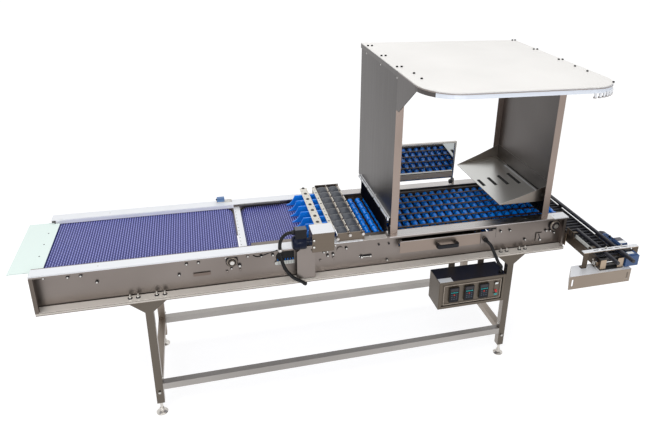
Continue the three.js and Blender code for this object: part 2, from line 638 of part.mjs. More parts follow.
// Brackets on the rails with the two flap rods between them; the front one carries the rods
const rodZ = flap.valleyZ - flap.rodRadius - fit;
function flapBracketSolid(side, withRods) {
  const face = sideRange(side, halfWidth - flapBracket.thickness, halfWidth);
  const foot = sideRange(side, halfWidth - flapBracket.foot, halfWidth);
  const across = [flapBracket.left, flapBracket.right];
  const parts = [
    block(across, face, [bed.top + fit, flapBracket.top]),
    block(across, foot, [bed.top + fit, bed.top + fit + flapBracket.thickness]),
  ];
  if (withRods) {
    const reach = [side * halfWidth, side * (flapBracket.thickness + fit - halfWidth)];
    parts.push(...rodX.map((x) => round('y', reach, [x, rodZ], flap.rodRadius, 8)));
  }
  return join(parts);
}
place('flap_bracket_front', flapBracketSolid(-1, true), brightSteel);
place('flap_bracket_back', flapBracketSolid(1, false), brightSteel);

// Crank drive: motor on a bracket plate, eccentric disc under a cover
const motorAxis = [-crank.motorY, crank.motorZ];
function crankMotor() {
  const body = turned('x', [0, ...motorAxis], [
    [0, crank.motorLeft], [crank.motorRadius - crank.bell, crank.motorLeft],
    [crank.motorRadius, crank.motorLeft + crank.bell],
    [crank.motorRadius, crank.boxRight - crank.bell], [crank.motorRadius - crank.bell, crank.boxRight],
    [crank.shaftRadius + crank.bell, crank.boxRight],
    [crank.shaftRadius + crank.bell, crank.coverLeft - fit], [0, crank.coverLeft - fit],
  ], 14);
  const box = block([crank.boxLeft, crank.boxRight],
    [-crank.motorY - crank.boxDepth / 2, -crank.motorY + crank.boxDepth / 2],
    [crank.motorZ + crank.bell, crank.boxTop]);
  const gland = round('x', [crank.boxLeft - conduit.glandLength, crank.boxLeft + overrun],
    [-crank.motorY, crank.glandZ], conduit.glandRadius, 6);
  return join(body, box, gland);
}
const plateY = [-halfWidth - sheet - fit, -halfWidth - fit];
function motorBracket() {
  const plateTop = crank.motorZ - crank.neckClear;
  const plate = prism('y', plateY, [
    [crank.plateLeft, crank.plateBottom], [crank.plateRight, crank.plateBottom],
    [crank.plateRight, crank.coverBottom - fit], [crank.plateStep - fit, crank.coverBottom - fit],
    [crank.plateStep - fit, plateTop], [crank.plateStep - sheet - fit, plateTop],
    [crank.plateLeft, plateTop - crank.shoulderDrop],
  ]);
  const saddle = block([crank.plateLeft, crank.plateRight], [plateY[1] - sheet, -webOuter - fit],
    [crank.plateBottom, crank.plateBottom + sheet]);
  const shelf = block([crank.boxRight + fit, crank.coverLeft - 2 * fit],
    [-crank.motorY - crank.boxDepth / 2, plateY[1]],
    [crank.motorZ - crank.motorRadius, crank.motorZ - crank.shaftRadius - crank.bell - fit]);
  return join(plate, saddle, shelf);
}
function crankCover() {
  return cut(
    block([crank.coverLeft, crank.coverRight], [-crank.coverFront, -crank.coverBack],
      [crank.coverBottom, crank.coverTop]),
    block([crank.coverLeft + sheet, crank.coverRight - sheet],
      [sheet - crank.coverFront, overrun - crank.coverBack],
      [crank.coverBottom - overrun, crank.coverTop - sheet]),
    block([crank.coverLeft - overrun, crank.coverRight + overrun],
      [-halfWidth - fit, overrun - crank.coverBack], [crank.coverBottom - overrun, bed.top + fit]),
    bore('x', [crank.coverLeft - overrun, crank.coverLeft + sheet + overrun], motorAxis,
      crank.shaftRadius),
  );
}
function crankDisc() {
  const discRight = crank.coverLeft + sheet + fit + crank.discThickness;
  return join(
    round('x', [discRight - crank.discThickness, discRight], motorAxis, crank.discRadius, 14),
    round('x', [crank.coverLeft, discRight], motorAxis, crank.shaftRadius, 10),
    round('x', [discRight, discRight + crank.discThickness], [motorAxis[0], motorAxis[1] + divider.shake],
      crank.pinRadius, 10),
  );
}
place('crank_motor', crankMotor(), motorPaint);
place('motor_bracket', motorBracket(), stainless);
place('crank_cover', crankCover(), stainless);
place('crank_disc', crankDisc(), brightSteel);

// A route's points are distances before the outlet end, then Y and Z
function conduitAlong(route) {
  const points = route.map(([distance, y, z]) => [beforeEnd(distance), y, z]);
  return tubeAlong(points, conduit.radius, conduit.sides, conduit.steps);
}

// Motor conduit: out of the terminal box, over the lip and under the front channel
const motorRoute = [
  [1673.4, -345, 1062], [1681, -345, 1062], [1705, -346, 1057], [1727, -348, 1037], [1739, -348, 1004],
  [1739, -347, 966], [1735, -347, 925], [1726, -347, 883], [1712, -347, 846], [1693, -347, 815],
  [1670, -346, 788], [1645, -345, 769], [1623, -343, 753], [1610, -337, 737], [1604, -325, 728],
  [1602, -306, 726], [1601, -284, 726], [1600, -263, 729], [1600, -250, 744],
];
place('motor_conduit', conduitAlong(motorRoute), blackPlastic);

// Roller conveyor
const chainMiddle = (roller.chainInner + roller.chainOuter) / 2;

function bobbinProfile() {
  const rings = 2 * laneCount;
  const edge = laneHalf - roller.endInset;
  const profile = [[0, -chainMiddle]];
  for (let i = 0; i <= rings; i += 1) {
    const y = i * lanePitch / 2 - laneHalf;
    profile.push([i % 2 ? roller.waistRadius : roller.bobbinRadius, Math.max(-edge, Math.min(edge, y))]);
  }
  profile.push([0, chainMiddle]);
  return profile;
}

function rollerBar(x, z) {
  return turned('y', [x, 0, z], bobbinProfile(), roller.sides);
}

function plainBar(x, z, sides) {
  const edge = laneHalf - roller.returnInset;
  return turned('y', [x, 0, z], [
    [0, -chainMiddle], [roller.returnRadius, -edge], [roller.returnRadius, edge], [0, chainMiddle],
  ], sides);
}

const firstBarX = rollerIdlerX + rollerPitch / 2;
const barPlaces = Array.from({ length: roller.pitches }, (_, i) => firstBarX + i * rollerPitch);
const lastBarX = barPlaces[barPlaces.length - 1];

function rollerRun(z, barAt) {
  const chains = [-1, 1].map((side) => block([firstBarX - roller.chainLead, lastBarX + roller.chainLead],
    sideRange(side, roller.chainInner, roller.chainOuter),
    [z - roller.chainHeight / 2, z + roller.chainHeight / 2]));
  return join(chains, barPlaces.map((x) => barAt(x, z)));
}
place('roller_run_top', rollerRun(roller.centreZ, rollerBar), bluePlastic);
place('roller_run_return', rollerRun(returnZ, (x, z) => plainBar(x, z, roller.returnSides)), bluePlastic);

// End shafts carry the bars that are on their way round, a sixth of a turn apart
function rollerShaft(outward, end) {
  const discs = [-1, 1].map((side) => round('y',
    sideRange(side, roller.discInner, roller.discOuter), [0, 0], roller.discRadius, 12));
  const bars = [1, 0, -1].map((step) => {
    const angle = step * Math.PI / 3;
    const x = outward * roller.sprocketRadius * Math.cos(angle);
    const z = roller.sprocketRadius * Math.sin(angle);
    return join(plainBar(x, z, roller.sides),
      round('y', [-roller.discOuter, roller.discOuter], [x, z], roller.pinRadius, roller.sides));
  });
  return join(round('y', [-end, end], [0, 0], roller.shaftRadius, 8), discs, bars);
}
place('roller_idler_shaft', rollerShaft(-1, shaftEnd.plain), brightSteel)
  .position.set(rollerIdlerX, 0, rollerShaftZ);
place('roller_drive_shaft', rollerShaft(1, shaftEnd.through), brightSteel)
  .position.set(roller.driveX, 0, rollerShaftZ);

// Hood side panels: sheet with an inward flange at each edge; the flanges and a lug stand on the rails
function hoodPanel(faceX, inward) {
  const skin = [faceX, faceX + inward * thinSheet];
  const flangeX = [faceX, faceX + inward * hood.flange];
  const footZ = bed.top + fit;
  return join(
    block(skin, [-hood.front, hood.back], [hood.panelBottom, hood.top - fit]),
    block(flangeX, [-hood.front, thinSheet - hood.front], [footZ, hood.top - fit]),
    block(flangeX, [hood.back - thinSheet, hood.back], [hood.panelBottom, hood.top - fit]),
    block(skin, [-hood.front, hood.lug - hood.front], [footZ, hood.panelBottom]),
    block(skin, [lipInner, halfWidth], [footZ, hood.panelBottom]),
  );
}
place('hood_panel_left', hoodPanel(hood.leftX, 1), stainless);
place('hood_panel_right', hoodPanel(hood.rightX, -1), stainless);

// Hood top: a rim bent round the outline, gussets under its overhang and a pale plate on it
function topOutline(inset) {
  const [left, right] = [hood.topLeft + inset, hood.topRight - inset];
  const [front, back] = [inset - hood.topFront, hood.topBack - inset];
  const radius = hood.cornerRadius - inset;
  const shape = new THREE.Shape();
  shape.moveTo(right, back);
  shape.lineTo(left, back);
  shape.absarc(left + radius, front + radius, radius, Math.PI, 3 * Math.PI / 2, false);
  shape.absarc(right - radius, front + radius, radius, 3 * Math.PI / 2, 2 * Math.PI, false);
  return shape;
}
function hoodRim() {
  const inner = topOutline(hood.rimFlange);
  const wallInner = topOutline(hood.rimThickness);
  const whole = prism('z', [hood.top, hoodPlateBottom - fit], topOutline(0));
  const hollow = prism('z', [hood.top - overrun, hoodPlateBottom - hood.rimThickness], wallInner);
  const light = prism('z', [hood.top - overrun, hoodPlateBottom + overrun], inner);
  const sides = [[hood.leftX, 1], [hood.rightX, -1]];
  const bearers = sides.map(([x, inward]) => block([x, x + inward * hood.flange],
    [-hood.front, hood.back], [hood.top, hood.top + hood.rimThickness]));
  const ties = sides.map(([x, inward]) => block([x, x + inward * sheet],
    [-hood.front, hood.back], [hood.top, hoodPlateBottom - hood.rimThickness]));
  const near = -hood.front - hood.gussetClear;
  const gussets = [
    [hood.leftX, 1, hood.gussetReach, hood.gussetDrop], [hood.rightX, -1, hood.shortReach, hood.shortDrop],
  ].map(([x, inward, reach, drop]) => prism('x', [x, x + inward * sheet], [
    [sheet - hood.front, hoodPlateBottom - hood.rimThickness],
    [near - reach, hoodPlateBottom - hood.rimThickness], [near - reach, hood.top],
    [near - hood.gussetInset, hood.top - drop], [near, hood.top - drop],
    [near, hood.top], [sheet - hood.front, hood.top],
  ]));
  return join(cut(whole, hollow, light), bearers, ties, gussets);
}
place('hood_rim', hoodRim(), brightSteel);
const hoodPlate = prism('z', [hoodPlateBottom, hoodPlateBottom + hood.plateThickness], topOutline(0));
place('hood_top', hoodPlate, whitePlate);

// Brush curtain under the left panel: one row of bristles in a folded clip
function brushCurtain() {
  const clipY = [-brush.clipFront, brush.clipBack];
  const clip = block([brush.x - brush.clipWidth / 2, brush.x + brush.clipWidth / 2], clipY,
    [brush.clipTop - brush.clipHeight, brush.clipTop]);
  const seatX = hood.leftX - fit;
  const tab = block([brush.x, seatX], clipY, [brush.clipTop - sheet, brush.clipTop]);
  const pitch = 2 * brush.halfWidth / (brush.bristleCount - 1);
  const root = brush.clipTop - brush.clipHeight + sheet;
  const bristle = [[0, brush.bottom], [brush.bristleRadius, root], [0, root]];
  const bristles = Array.from({ length: brush.bristleCount }, (_, i) => turned('z',
    [brush.x, i * pitch - brush.halfWidth, 0], bristle, 3));
  return wasm.Manifold.union([clip, tab, ...bristles]);
}
place('brush_curtain', brushCurtain(), blackPlastic);

// Mirror on the back rail: frame on two pivots, leaning a little over the rollers
const mirrorGroup = new THREE.Group();
mirrorGroup.position.set(0, mirror.y, mirror.pivotZ);
mirrorGroup.rotation.x = THREE.MathUtils.degToRad(mirror.leanDegrees);
machine.add(mirrorGroup);
function mirrorFrame() {
  const z = [mirror.bottom - mirror.pivotZ, mirror.top - mirror.pivotZ];
  const y = [-mirror.depth / 2, mirror.depth / 2];
  const pocketZ = [z[0] + mirror.lowerRim, z[1] - mirror.rim];
  const body = cut(
    block([mirror.left, mirror.right], y, z),
    block([mirror.left + mirror.rim, mirror.right - mirror.rim], [y[0] - overrun, y[1] - thinSheet],
      pocketZ),
  );
  const earY = [-mirror.earThickness / 2, mirror.earThickness / 2];
  const pins = [mirror.left, mirror.right - mirror.earWidth].map((x) => join(
    block([x, x + mirror.earWidth], earY, [-mirror.pinRadius, z[0]]),
    round('x', [x - mirror.earWidth, x + mirror.earWidth * 2], [0, 0], mirror.pinRadius, 10),
  ));
  return join(body, pins);
}
place('mirror_frame', mirrorFrame(), stainless, mirrorGroup);
place('mirror_glass', block([mirror.left + mirror.rim + fit, mirror.right - mirror.rim - fit],
  [mirror.depth / 2 - thinSheet - fit - mirror.glass, mirror.depth / 2 - thinSheet - fit],
  [mirror.bottom - mirror.pivotZ + mirror.lowerRim + fit, mirror.top - mirror.pivotZ - mirror.rim - fit]),
silvered, mirrorGroup);

// Tray on the right panel: sloping sheet with four finger slots between two end plates
const trayBack = hood.back - thinSheet - fit;
function traySolid() {
  const wallX = hood.rightX - thinSheet - fit;
  const backTop = tray.foldZ + tray.backRise;
  const y = [-tray.front, trayBack];
  const thick = tray.thickness;
  const floor = prism('y', y, [
    [tray.freeX, tray.freeZ - thick], [tray.foldX, tray.foldZ - thick], [wallX, tray.foldZ - thick],
    [wallX, backTop], [wallX - thick, backTop], [wallX - thick, tray.foldZ],
    [tray.foldX, tray.foldZ], [tray.freeX, tray.freeZ],
  ]);
  const endPlate = (from, top) => prism('y', [from, from + thick], [
    [tray.freeX, tray.freeZ - thick], [wallX, tray.bottomZ - thick], [wallX, top],
    [(tray.freeX + wallX) / 2, (tray.freeZ + top) / 2 - 2 * thick], [tray.freeX, tray.freeZ],
  ]);
  const rise = (tray.foldZ - tray.freeZ) / (tray.foldX - tray.freeX);
  const slots = Array.from({ length: tray.slotCount }, (_, i) => {
    const x = tray.freeX + tray.slotFirst + i * tray.slotPitch;
    const z = tray.freeZ + rise * (x - tray.freeX);
    const length = tray.slotLength + i * tray.slotGrowth;
    const middle = [x, tray.slotBack - length / 2];
    return slotTool('z', [z - 4 * thick, z + 4 * thick], middle, length, tray.slotWidth, 90);
  });
  return join(cut(floor, slots), endPlate(-tray.front, tray.foldZ + tray.frontRise),
    endPlate(trayBack - thick, backTop));
}
place('tray', traySolid(), brightSteel);

// Drawer pan between the roller runs, its rims riding on the runners
function drawerSolid() {
  const pan = [drawer.panLeft, drawer.panRight];
  const depth = [sheet - halfWidth, drawer.panBack];
  const body = cut(
    block(pan, depth, [drawer.panBottom, drawer.panTop]),
    block([pan[0] + drawer.wall, pan[1] - drawer.wall], [depth[0] + drawer.wall, depth[1] - drawer.wall],
      [drawer.panBottom + drawer.wall, drawer.panTop + overrun]),
  );
  const rimZ = [drawer.panTop - drawer.wall, drawer.panTop];
  const rims = [
    block([pan[0] - drawer.rim, pan[0]], [-webOuter, depth[1]], rimZ),
    block([pan[1], pan[1] + drawer.rim], [-webOuter, depth[1]], rimZ),
  ];
  const face = block([drawer.left, drawer.right], [-halfWidth, sheet - halfWidth],
    [drawer.bottom, drawer.top]);
  return join(body, rims, face);
}
place('drawer', drawerSolid(), stainless);

// Bow handle on the drawer face
function handleSolid() {
  const faceY = -halfWidth - fit;
  const gripY = faceY - handle.reach;
  const outline = new THREE.Shape();
  outline.moveTo(handle.left, faceY);
  outline.lineTo(handle.left, faceY - handle.reach / 2);
  outline.quadraticCurveTo(handle.left, gripY, handle.left + handle.foot, gripY);
  outline.lineTo(handle.right - handle.foot, gripY);
  outline.quadraticCurveTo(handle.right, gripY, handle.right, faceY - handle.reach / 2);
  outline.lineTo(handle.right, faceY);
  outline.lineTo(handle.right - handle.foot, faceY);
  outline.lineTo(handle.right - handle.foot, gripY + handle.grip);
  outline.lineTo(handle.left + handle.foot, gripY + handle.grip);
  outline.lineTo(handle.left + handle.foot, faceY);
  return prism('z', [handle.z - handle.height / 2, handle.z + handle.height / 2], outline);
}
place('drawer_handle', handleSolid(), blackPlastic);

// Control box: open-fronted case hung from the channel, hinged door with keypads, switch lever
function controlBox() {
  const inner = control.wall;
  const y = [-control.front, -control.back];
  const shell = cut(
    block([control.left, control.right], y, [control.bottom, control.top]),
    block([control.left + inner, control.right - inner], [y[0] + inner, y[1] - inner],
      [control.bottom + inner, control.top - inner]),
    block([control.doorLeft - fit, control.doorRight + fit], [y[0] - overrun, y[0] + inner + overrun],
      [control.doorBottom - fit, control.doorTop + fit]),
  );
  const hangerWidth = control.hangerRight - control.hangerLeft;
  const hangerY = -webOuter - control.hangerDepth;
  const hangers = [control.hangerLeft, control.hangerSecond].map((x) => block(
    [x, x + hangerWidth], [hangerY, hangerY + sheet], [control.top, bedBottom - fit]));
  const gland = round('z', [control.top - overrun, control.top + conduit.glandLength],
    [control.glandX, -control.glandY], conduit.glandRadius, 6);
  return join(shell, hangers, gland);
}
place('control_box', controlBox(), stainless);

const leverPivot = [-control.front - control.padEdge / 2, control.leverZ];
function controlDoor() {
  const y = [-control.front, control.doorThickness - control.front];
  const door = block([control.doorLeft, control.doorRight], y, [control.doorBottom, control.doorTop]);
  const pads = Array.from({ length: 3 }, (_, i) => {
    const x = control.padFirst + i * control.padPitch;
    return block([x - control.padWidth / 2, x + control.padWidth / 2],
      [y[0] - control.padEdge, y[0] + control.padDepth],
      [control.padZ - control.padHeight / 2, control.padZ + control.padHeight / 2]);
  });
  const breaker = block(
    [control.switchX - control.switchWidth / 2, control.switchX + control.switchWidth / 2],
    [y[0] - control.padEdge / 2, y[0] + control.switchDepth],
    [control.switchZ - control.switchHeight / 2, control.switchZ + control.switchHeight / 2]);
  const recessHalf = control.leverWidth / 2 + fit;
  const recess = bore('x', [control.switchX - recessHalf, control.switchX + recessHalf], leverPivot,
    control.drumRadius);
  return cut(join(door, pads, breaker), recess);
}
place('control_door', controlDoor(), stainless);

// Toggle of the switch: a drum that turns in a recess of the switch body, with a flat finger piece
function toggle() {
  const width = [-control.leverWidth / 2, control.leverWidth / 2];
  return join(
    round('x', width, [0, 0], control.drumRadius, 8),
    block(width, [-control.leverReach, 0], [-control.leverThickness / 2, control.leverThickness / 2]),
  );
}
const powerSwitch = place('power_switch', toggle(), finish(0xc81420, 0.4, 0));
powerSwitch.position.set(control.switchX, ...leverPivot);
powerSwitch.rotation.x = THREE.MathUtils.degToRad(control.leverTiltDegrees);

// Control conduit: out of the face beside the drawer and down to the top of the control box
const controlRoute = [
  [543, -337.4, 872], [543, -344, 872], [537, -358, 868], [523, -366, 852], [509, -366, 826],
  [493, -364, 795], [477, -360, 765], [462, -354, 738], [446, -343, 712], [428, -328, 690],
  [409, -312, 668], [397, -300, 650], [395, -296, 632], [395, -296, 622.6],
];
place('control_conduit', conduitAlong(controlRoute), blackPlastic);

// Cross conveyor side plates: web with a nose flange, the left one bracketed to the bed end
function crossPlate(x, nose, bearingTo) {
  const plate = [x, x + cross.plate];
  const parts = [
    block(plate, [-cross.front, cross.back], [cross.plateBottom, cross.plateTop]),
    block(nose, [-cross.front, cross.plate - cross.front], [cross.plateBottom, cross.plateTop]),
    round('x', [x, bearingTo], [-cross.frontShaftY, crossShaftZ], cross.bearingRadius, 12),
    round('x', [x, bearingTo], [-crossBackShaftY, crossShaftZ], cross.bearingRadius, 12),
  ];
  const lowX = Math.min(x, bearingTo) - overrun;
  const highX = Math.max(x + cross.plate, bearingTo) + overrun;
  const bores = [cross.frontShaftY, crossBackShaftY].map((y) => bore('x', [lowX, highX], [-y, crossShaftZ],
    cross.shaftRadius));
  return [parts, bores];
}
function crossPlateLeft() {
  const [parts, bores] = crossPlate(cross.leftX, [cross.leftX, cross.leftX + cross.noseFlange],
    cross.leftX - cross.bearingHeight);
  const brackets = [-1, 1].map((side) => join(
    block([bed.length + fit, cross.leftX + cross.plate], sideRange(side, webInner, webOuter + sheet),
      [cross.bracketBottom, cross.bracketTop - sheet]),
    block([bed.length + fit, bed.length + fit + sheet],
      sideRange(side, webInner, halfWidth + cross.bracketReach / 2),
      [cross.bracketBottom, cross.bracketTop]),
  ));
  return cut(join(parts, brackets), bores);
}
function crossPlateRight() {
  const outer = cross.rightX + cross.plate;
  const [parts, bores] = crossPlate(cross.rightX, [outer - cross.noseFlange, outer],
    outer + cross.bearingHeight);
  const ties = [-cross.front + 3 * cross.noseFlange, 0, cross.back - cross.noseFlange].map((y) => block(
    [cross.leftX + cross.plate + fit, cross.rightX + cross.plate], [y, y + cross.noseFlange],
    [cross.plateBottom - sheet, cross.plateBottom]));
  return cut(join(parts, ties), bores);
}
place('cross_plate_left', crossPlateLeft(), stainless);
place('cross_plate_right', crossPlateRight(), stainless);

// Rod belt: round rods pinned in two side chains, top run only
const rodEnds = [cross.leftX + cross.plate + 2 * fit, cross.rightX - 2 * fit];
const rodPlaces = Array.from({ length: cross.rodCount },
  (_, i) => -cross.frontShaftY + (i + 1 / 2) * cross.rodPitch);
function rodRun() {
  const chainZ = [cross.rodZ - cross.chainHeight / 2, cross.rodZ + cross.chainHeight / 2];
  const span = [rodPlaces[0] - cross.chainWidth, rodPlaces[rodPlaces.length - 1] + cross.chainWidth];
  const chains = [
    block([rodEnds[0], rodEnds[0] + cross.chainWidth], span, chainZ),
    block([rodEnds[1] - cross.chainWidth, rodEnds[1]], span, chainZ),
  ];
  const rodSpan = [rodEnds[0] + cross.chainWidth / 2, rodEnds[1] - cross.chainWidth / 2];
  const rods = rodPlaces.map((y) => round('x', rodSpan, [y, cross.rodZ], cross.rodRadius, 6));
  return join(chains, rods);
}
place('rod_run', rodRun(), rubber);

function crossShaft(outward) {
  const wheelInset = cross.chainWidth + fit;
  const wheels = [
    [rodEnds[0] + wheelInset, rodEnds[0] + wheelInset + cross.discWidth],
    [rodEnds[1] - wheelInset - cross.discWidth, rodEnds[1] - wheelInset],
  ].map((range) => round('x', range, [0, 0], cross.sprocketRadius - cross.rodRadius - 2 * fit, 8));
  const angles = [1, 3, 5].map((halfStep) => Math.PI / 2 - halfStep * Math.PI / cross.teeth);
  const tipAt = (angle) => [
    outward * cross.sprocketRadius * Math.cos(angle), cross.sprocketRadius * Math.sin(angle),
  ];
  const rods = angles.map((angle) => round('x', rodEnds, tipAt(angle), cross.rodRadius, 6));
  const armHalf = cross.chainWidth / 2;
  const arms = angles.map((angle) => {
    const tip = tipAt(angle);
    const side = [-Math.sin(angle) * armHalf, outward * Math.cos(angle) * armHalf];
    const outline = [
      [side[0], side[1]], [tip[0] + side[0], tip[1] + side[1]],
      [tip[0] - side[0], tip[1] - side[1]], [-side[0], -side[1]],
    ];
    return [rodEnds[0] + wheelInset, rodEnds[1] - wheelInset - cross.discWidth]
      .map((x) => prism('x', [x, x + cross.discWidth], outline));
  });
  const ends = [cross.leftX - cross.bearingHeight, cross.rightX + cross.plate + cross.bearingHeight - fit];
  return join(round('x', ends, [0, 0], cross.shaftRadius, 8), wheels, rods, arms.flat());
}
place('cross_drive_shaft', crossShaft(-1), brightSteel).position.set(0, -cross.frontShaftY, crossShaftZ);
place('cross_idler_shaft', crossShaft(1), brightSteel).position.set(0, -crossBackShaftY, crossShaftZ);

// Padded guard tubes along the rod belt: the outer one whole length, the inner one past the bed
function guardTube(x, back) {
  return round('y', [-guard.front, back], [x, guard.z], guard.radius, 10);
}
const plateSeat = cross.plateTop + fit;
function guardStay(x, y) {
  return block([x - cross.plate, x + cross.plate], [y, y + cross.noseFlange], [plateSeat, guard.z]);
}
function outerGuard() {
  const x = guard.outerX + cross.plate / 2;
  const stayY = [-cross.front + 3 * cross.noseFlange, 0, cross.back - 2 * cross.noseFlange];
  return join(guardTube(x, guard.outerBack), stayY.map((y) => guardStay(x, y)));
}
place('guard_tube_outer', outerGuard(), rubber);
function innerGuard() {
  const stays = [-cross.front + 3 * cross.noseFlange, -guard.innerBack - cross.noseFlange].map((y) => join(
    block([cross.leftX, guard.innerX], [y, y + cross.noseFlange / 2], [guard.z - cross.plate, guard.z]),
    block([cross.leftX, cross.leftX + cross.plate], [y, y + cross.noseFlange / 2], [plateSeat, guard.z]),
  ));
  return join(guardTube(guard.innerX, -guard.innerBack), stays);
}
place('guard_tube_inner', innerGuard(), rubber);

// Bridge over the outlet: slotted bar on two legs that stand on the end box
function bridgeSolid() {
  const y = [-bridge.y, bridge.depth - bridge.y];
  const legZ = [endBox.top + fit, bridge.barTop];
  const slotPitch = (bridge.right - bridge.left) / (bridge.slotCount + 1);
  const slots = Array.from({ length: bridge.slotCount }, (_, i) => slotTool('z',
    [bridge.barBottom, bridge.barTop + overrun],
    [bridge.left + (i + 1) * slotPitch, -bridge.y + bridge.depth / 2],
    bridge.slotLength, bridge.slotWidth, 0));
  const bar = cut(
    block([bridge.left, bridge.right], y, [bridge.barTop - bridge.legThickness, bridge.barTop]), slots);
  const apron = block([bridge.left, bridge.right], [-bridge.y, bridge.legThickness - bridge.y],
    [bridge.barBottom, bridge.barTop]);
  const legs = [
    block([bridge.left, bridge.left + bridge.legThickness], y, legZ),
    block([bridge.right - bridge.legThickness, bridge.right], y, legZ),
  ];
  const toeZ = [legZ[0], legZ[0] + bridge.legThickness];
  const toes = [
    block([bridge.left, bridge.left + bridge.leg], y, toeZ),
    block([endBox.right - bridge.leg, bridge.right], y, toeZ),
  ];
  return join(bar, apron, legs, toes);
}
place('bridge_bar', bridgeSolid(), brightSteel);

// End box: folded sheet under the outlet, with a vertical slot at each end of its face
const notchFront = cross.frontShaftY + cross.sprocketRadius + cross.rodRadius + endBox.sheet;
function endBoxPlan(inset, open) {
  const back = open ? overrun - endBox.back : -endBox.back;
  const slope = endBox.slant / (endBox.front - endBox.back);
  const leftAt = (y) => endBox.left + inset + slope * (y + endBox.front);
  return [
    [leftAt(inset - endBox.front), inset - endBox.front], [endBox.right - inset, inset - endBox.front],
    [endBox.right - inset, back], [leftAt(back), back],
  ];
}
function endBoxSolid() {
  const z = [endBox.top - endBox.height, endBox.top];
  const shell = prism('z', z, endBoxPlan(0, false));
  const hollow = prism('z', [z[0] - overrun, z[1] - endBox.sheet], endBoxPlan(endBox.sheet, true));
  const notch = block([cross.leftX, cross.rightX + cross.plate], [-notchFront, overrun - endBox.back],
    [z[1] - endBox.sheet - overrun, z[1] + overrun]);
  const slots = [endBox.left + endBox.slotInset, endBox.right - endBox.slotInset].map((x) => slotTool('y',
    [-endBox.front - overrun, endBox.sheet + overrun - endBox.front], [x, (z[0] + z[1]) / 2],
    endBox.slotHeight, endBox.slotWidth, 90));
  return cut(shell, hollow, notch, slots);
}
place('end_box', endBoxSolid(), stainless);

// Gear motor beside the right plate
function gearMotorSolid() {
  const boxX = [cross.rightX + cross.plate + cross.bearingHeight + fit, gearMotor.x + gearMotor.boxHalf];
  const boxZ = [endBox.top + bridge.legThickness + 2 * fit, gearMotor.z + gearMotor.boxHalf];
  return join(
    block(boxX, [-gearMotor.boxFront, -gearMotor.boxBack], boxZ),
    turned('y', [gearMotor.x, 0, gearMotor.z], [
      [0, -gearMotor.boxBack], [gearMotor.motorRadius - gearMotor.footThickness, -gearMotor.boxBack],
      [gearMotor.motorRadius, -gearMotor.boxBack + gearMotor.capLength],
      [gearMotor.motorRadius, -gearMotor.motorBack - gearMotor.capLength],
      [gearMotor.motorRadius - gearMotor.footThickness, -gearMotor.motorBack], [0, -gearMotor.motorBack],
    ], 18),
    block([gearMotor.x - gearMotor.terminalHalf, gearMotor.x + gearMotor.terminalHalf],
      [-gearMotor.terminalFront, -gearMotor.terminalBack],
      [gearMotor.z, gearMotor.z + gearMotor.motorRadius + gearMotor.terminalHeight]),
  );
}
place('gear_motor', gearMotorSolid(), motorPaint);

// Origin at the middle of the footprint of the whole machine, on the floor
machine.updateMatrixWorld(true);
const bounds = new THREE.Box3().setFromObject(machine);
machine.position.set(-(bounds.min.x + bounds.max.x) / 2, -(bounds.min.y + bounds.max.y) / 2, -bounds.min.z);
machine.updateMatrixWorld(true);

export default machine;
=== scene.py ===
"""Egg grading machine: materials, surface details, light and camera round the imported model.

Lengths are in millimetres in the machine's own frame: X from the left end of the side channels
along the travel of the eggs, Y = 0 on the middle of the bed with the operator at -Y, floor at Z = 0.
"""
import random
from itertools import product
from math import cos, degrees, pi, radians, sin

import bmesh
import bpy
from mathutils import Matrix, Vector


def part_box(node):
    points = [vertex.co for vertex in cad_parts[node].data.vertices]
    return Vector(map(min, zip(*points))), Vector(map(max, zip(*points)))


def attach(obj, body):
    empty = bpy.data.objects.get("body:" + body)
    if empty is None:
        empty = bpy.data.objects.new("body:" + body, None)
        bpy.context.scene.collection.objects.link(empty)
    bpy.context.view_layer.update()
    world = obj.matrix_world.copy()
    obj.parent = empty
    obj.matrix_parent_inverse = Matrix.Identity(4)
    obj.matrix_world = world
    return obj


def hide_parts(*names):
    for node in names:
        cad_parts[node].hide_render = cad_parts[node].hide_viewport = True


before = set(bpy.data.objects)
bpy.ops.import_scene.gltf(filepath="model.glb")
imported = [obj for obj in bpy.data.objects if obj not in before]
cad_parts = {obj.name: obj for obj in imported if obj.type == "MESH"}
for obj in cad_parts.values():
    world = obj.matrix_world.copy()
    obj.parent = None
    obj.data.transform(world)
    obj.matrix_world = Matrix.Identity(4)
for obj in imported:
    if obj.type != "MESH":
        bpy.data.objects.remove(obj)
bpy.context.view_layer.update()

MM = 0.001
rail_low, rail_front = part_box("side_channel_front")
_, rail_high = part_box("side_channel_back")
ORIGIN = Vector((rail_low.x, (rail_low.y + rail_high.y) / 2, 0))
HALF_WIDTH = (rail_high.y - rail_low.y) / 2 / MM
RAIL_TOP = rail_front.z / MM

# The machine's main sizes
LENGTH = 2917
LANES = 6
LANE_PITCH = 76.2
WEB = 275
LIP_INNER = 263
BELT_TOP = 938
BELT_RADIUS = 47
BELT_HALF = 265
HOOD_TOP = 1888
ROLLER_PITCH = 50
ROLLER_Z = 935
RETURN_Z = 835
DRIVE_X = 2866
IDLER_X = 1516
BARS = 27
SHAFT_Z = 885
LEG_X = (508, 2571)
LEG_Y = 305
ROD_PITCH = 35
ROD_Z = 843
CROSS_SHAFT_Y = (-622, 218)
CROSS_SHAFT_Z = 813.2
BRIDGE_TOP = 888
BOX_TOP = 610
SEED = 7


def at(x, y, z):
    """A point of the machine in the row frame, in metres."""
    return ORIGIN + Vector((x, y, z)) * MM


def placed(name, data):
    made = bpy.data.objects.new(name, data)
    bpy.context.scene.collection.objects.link(made)
    return made


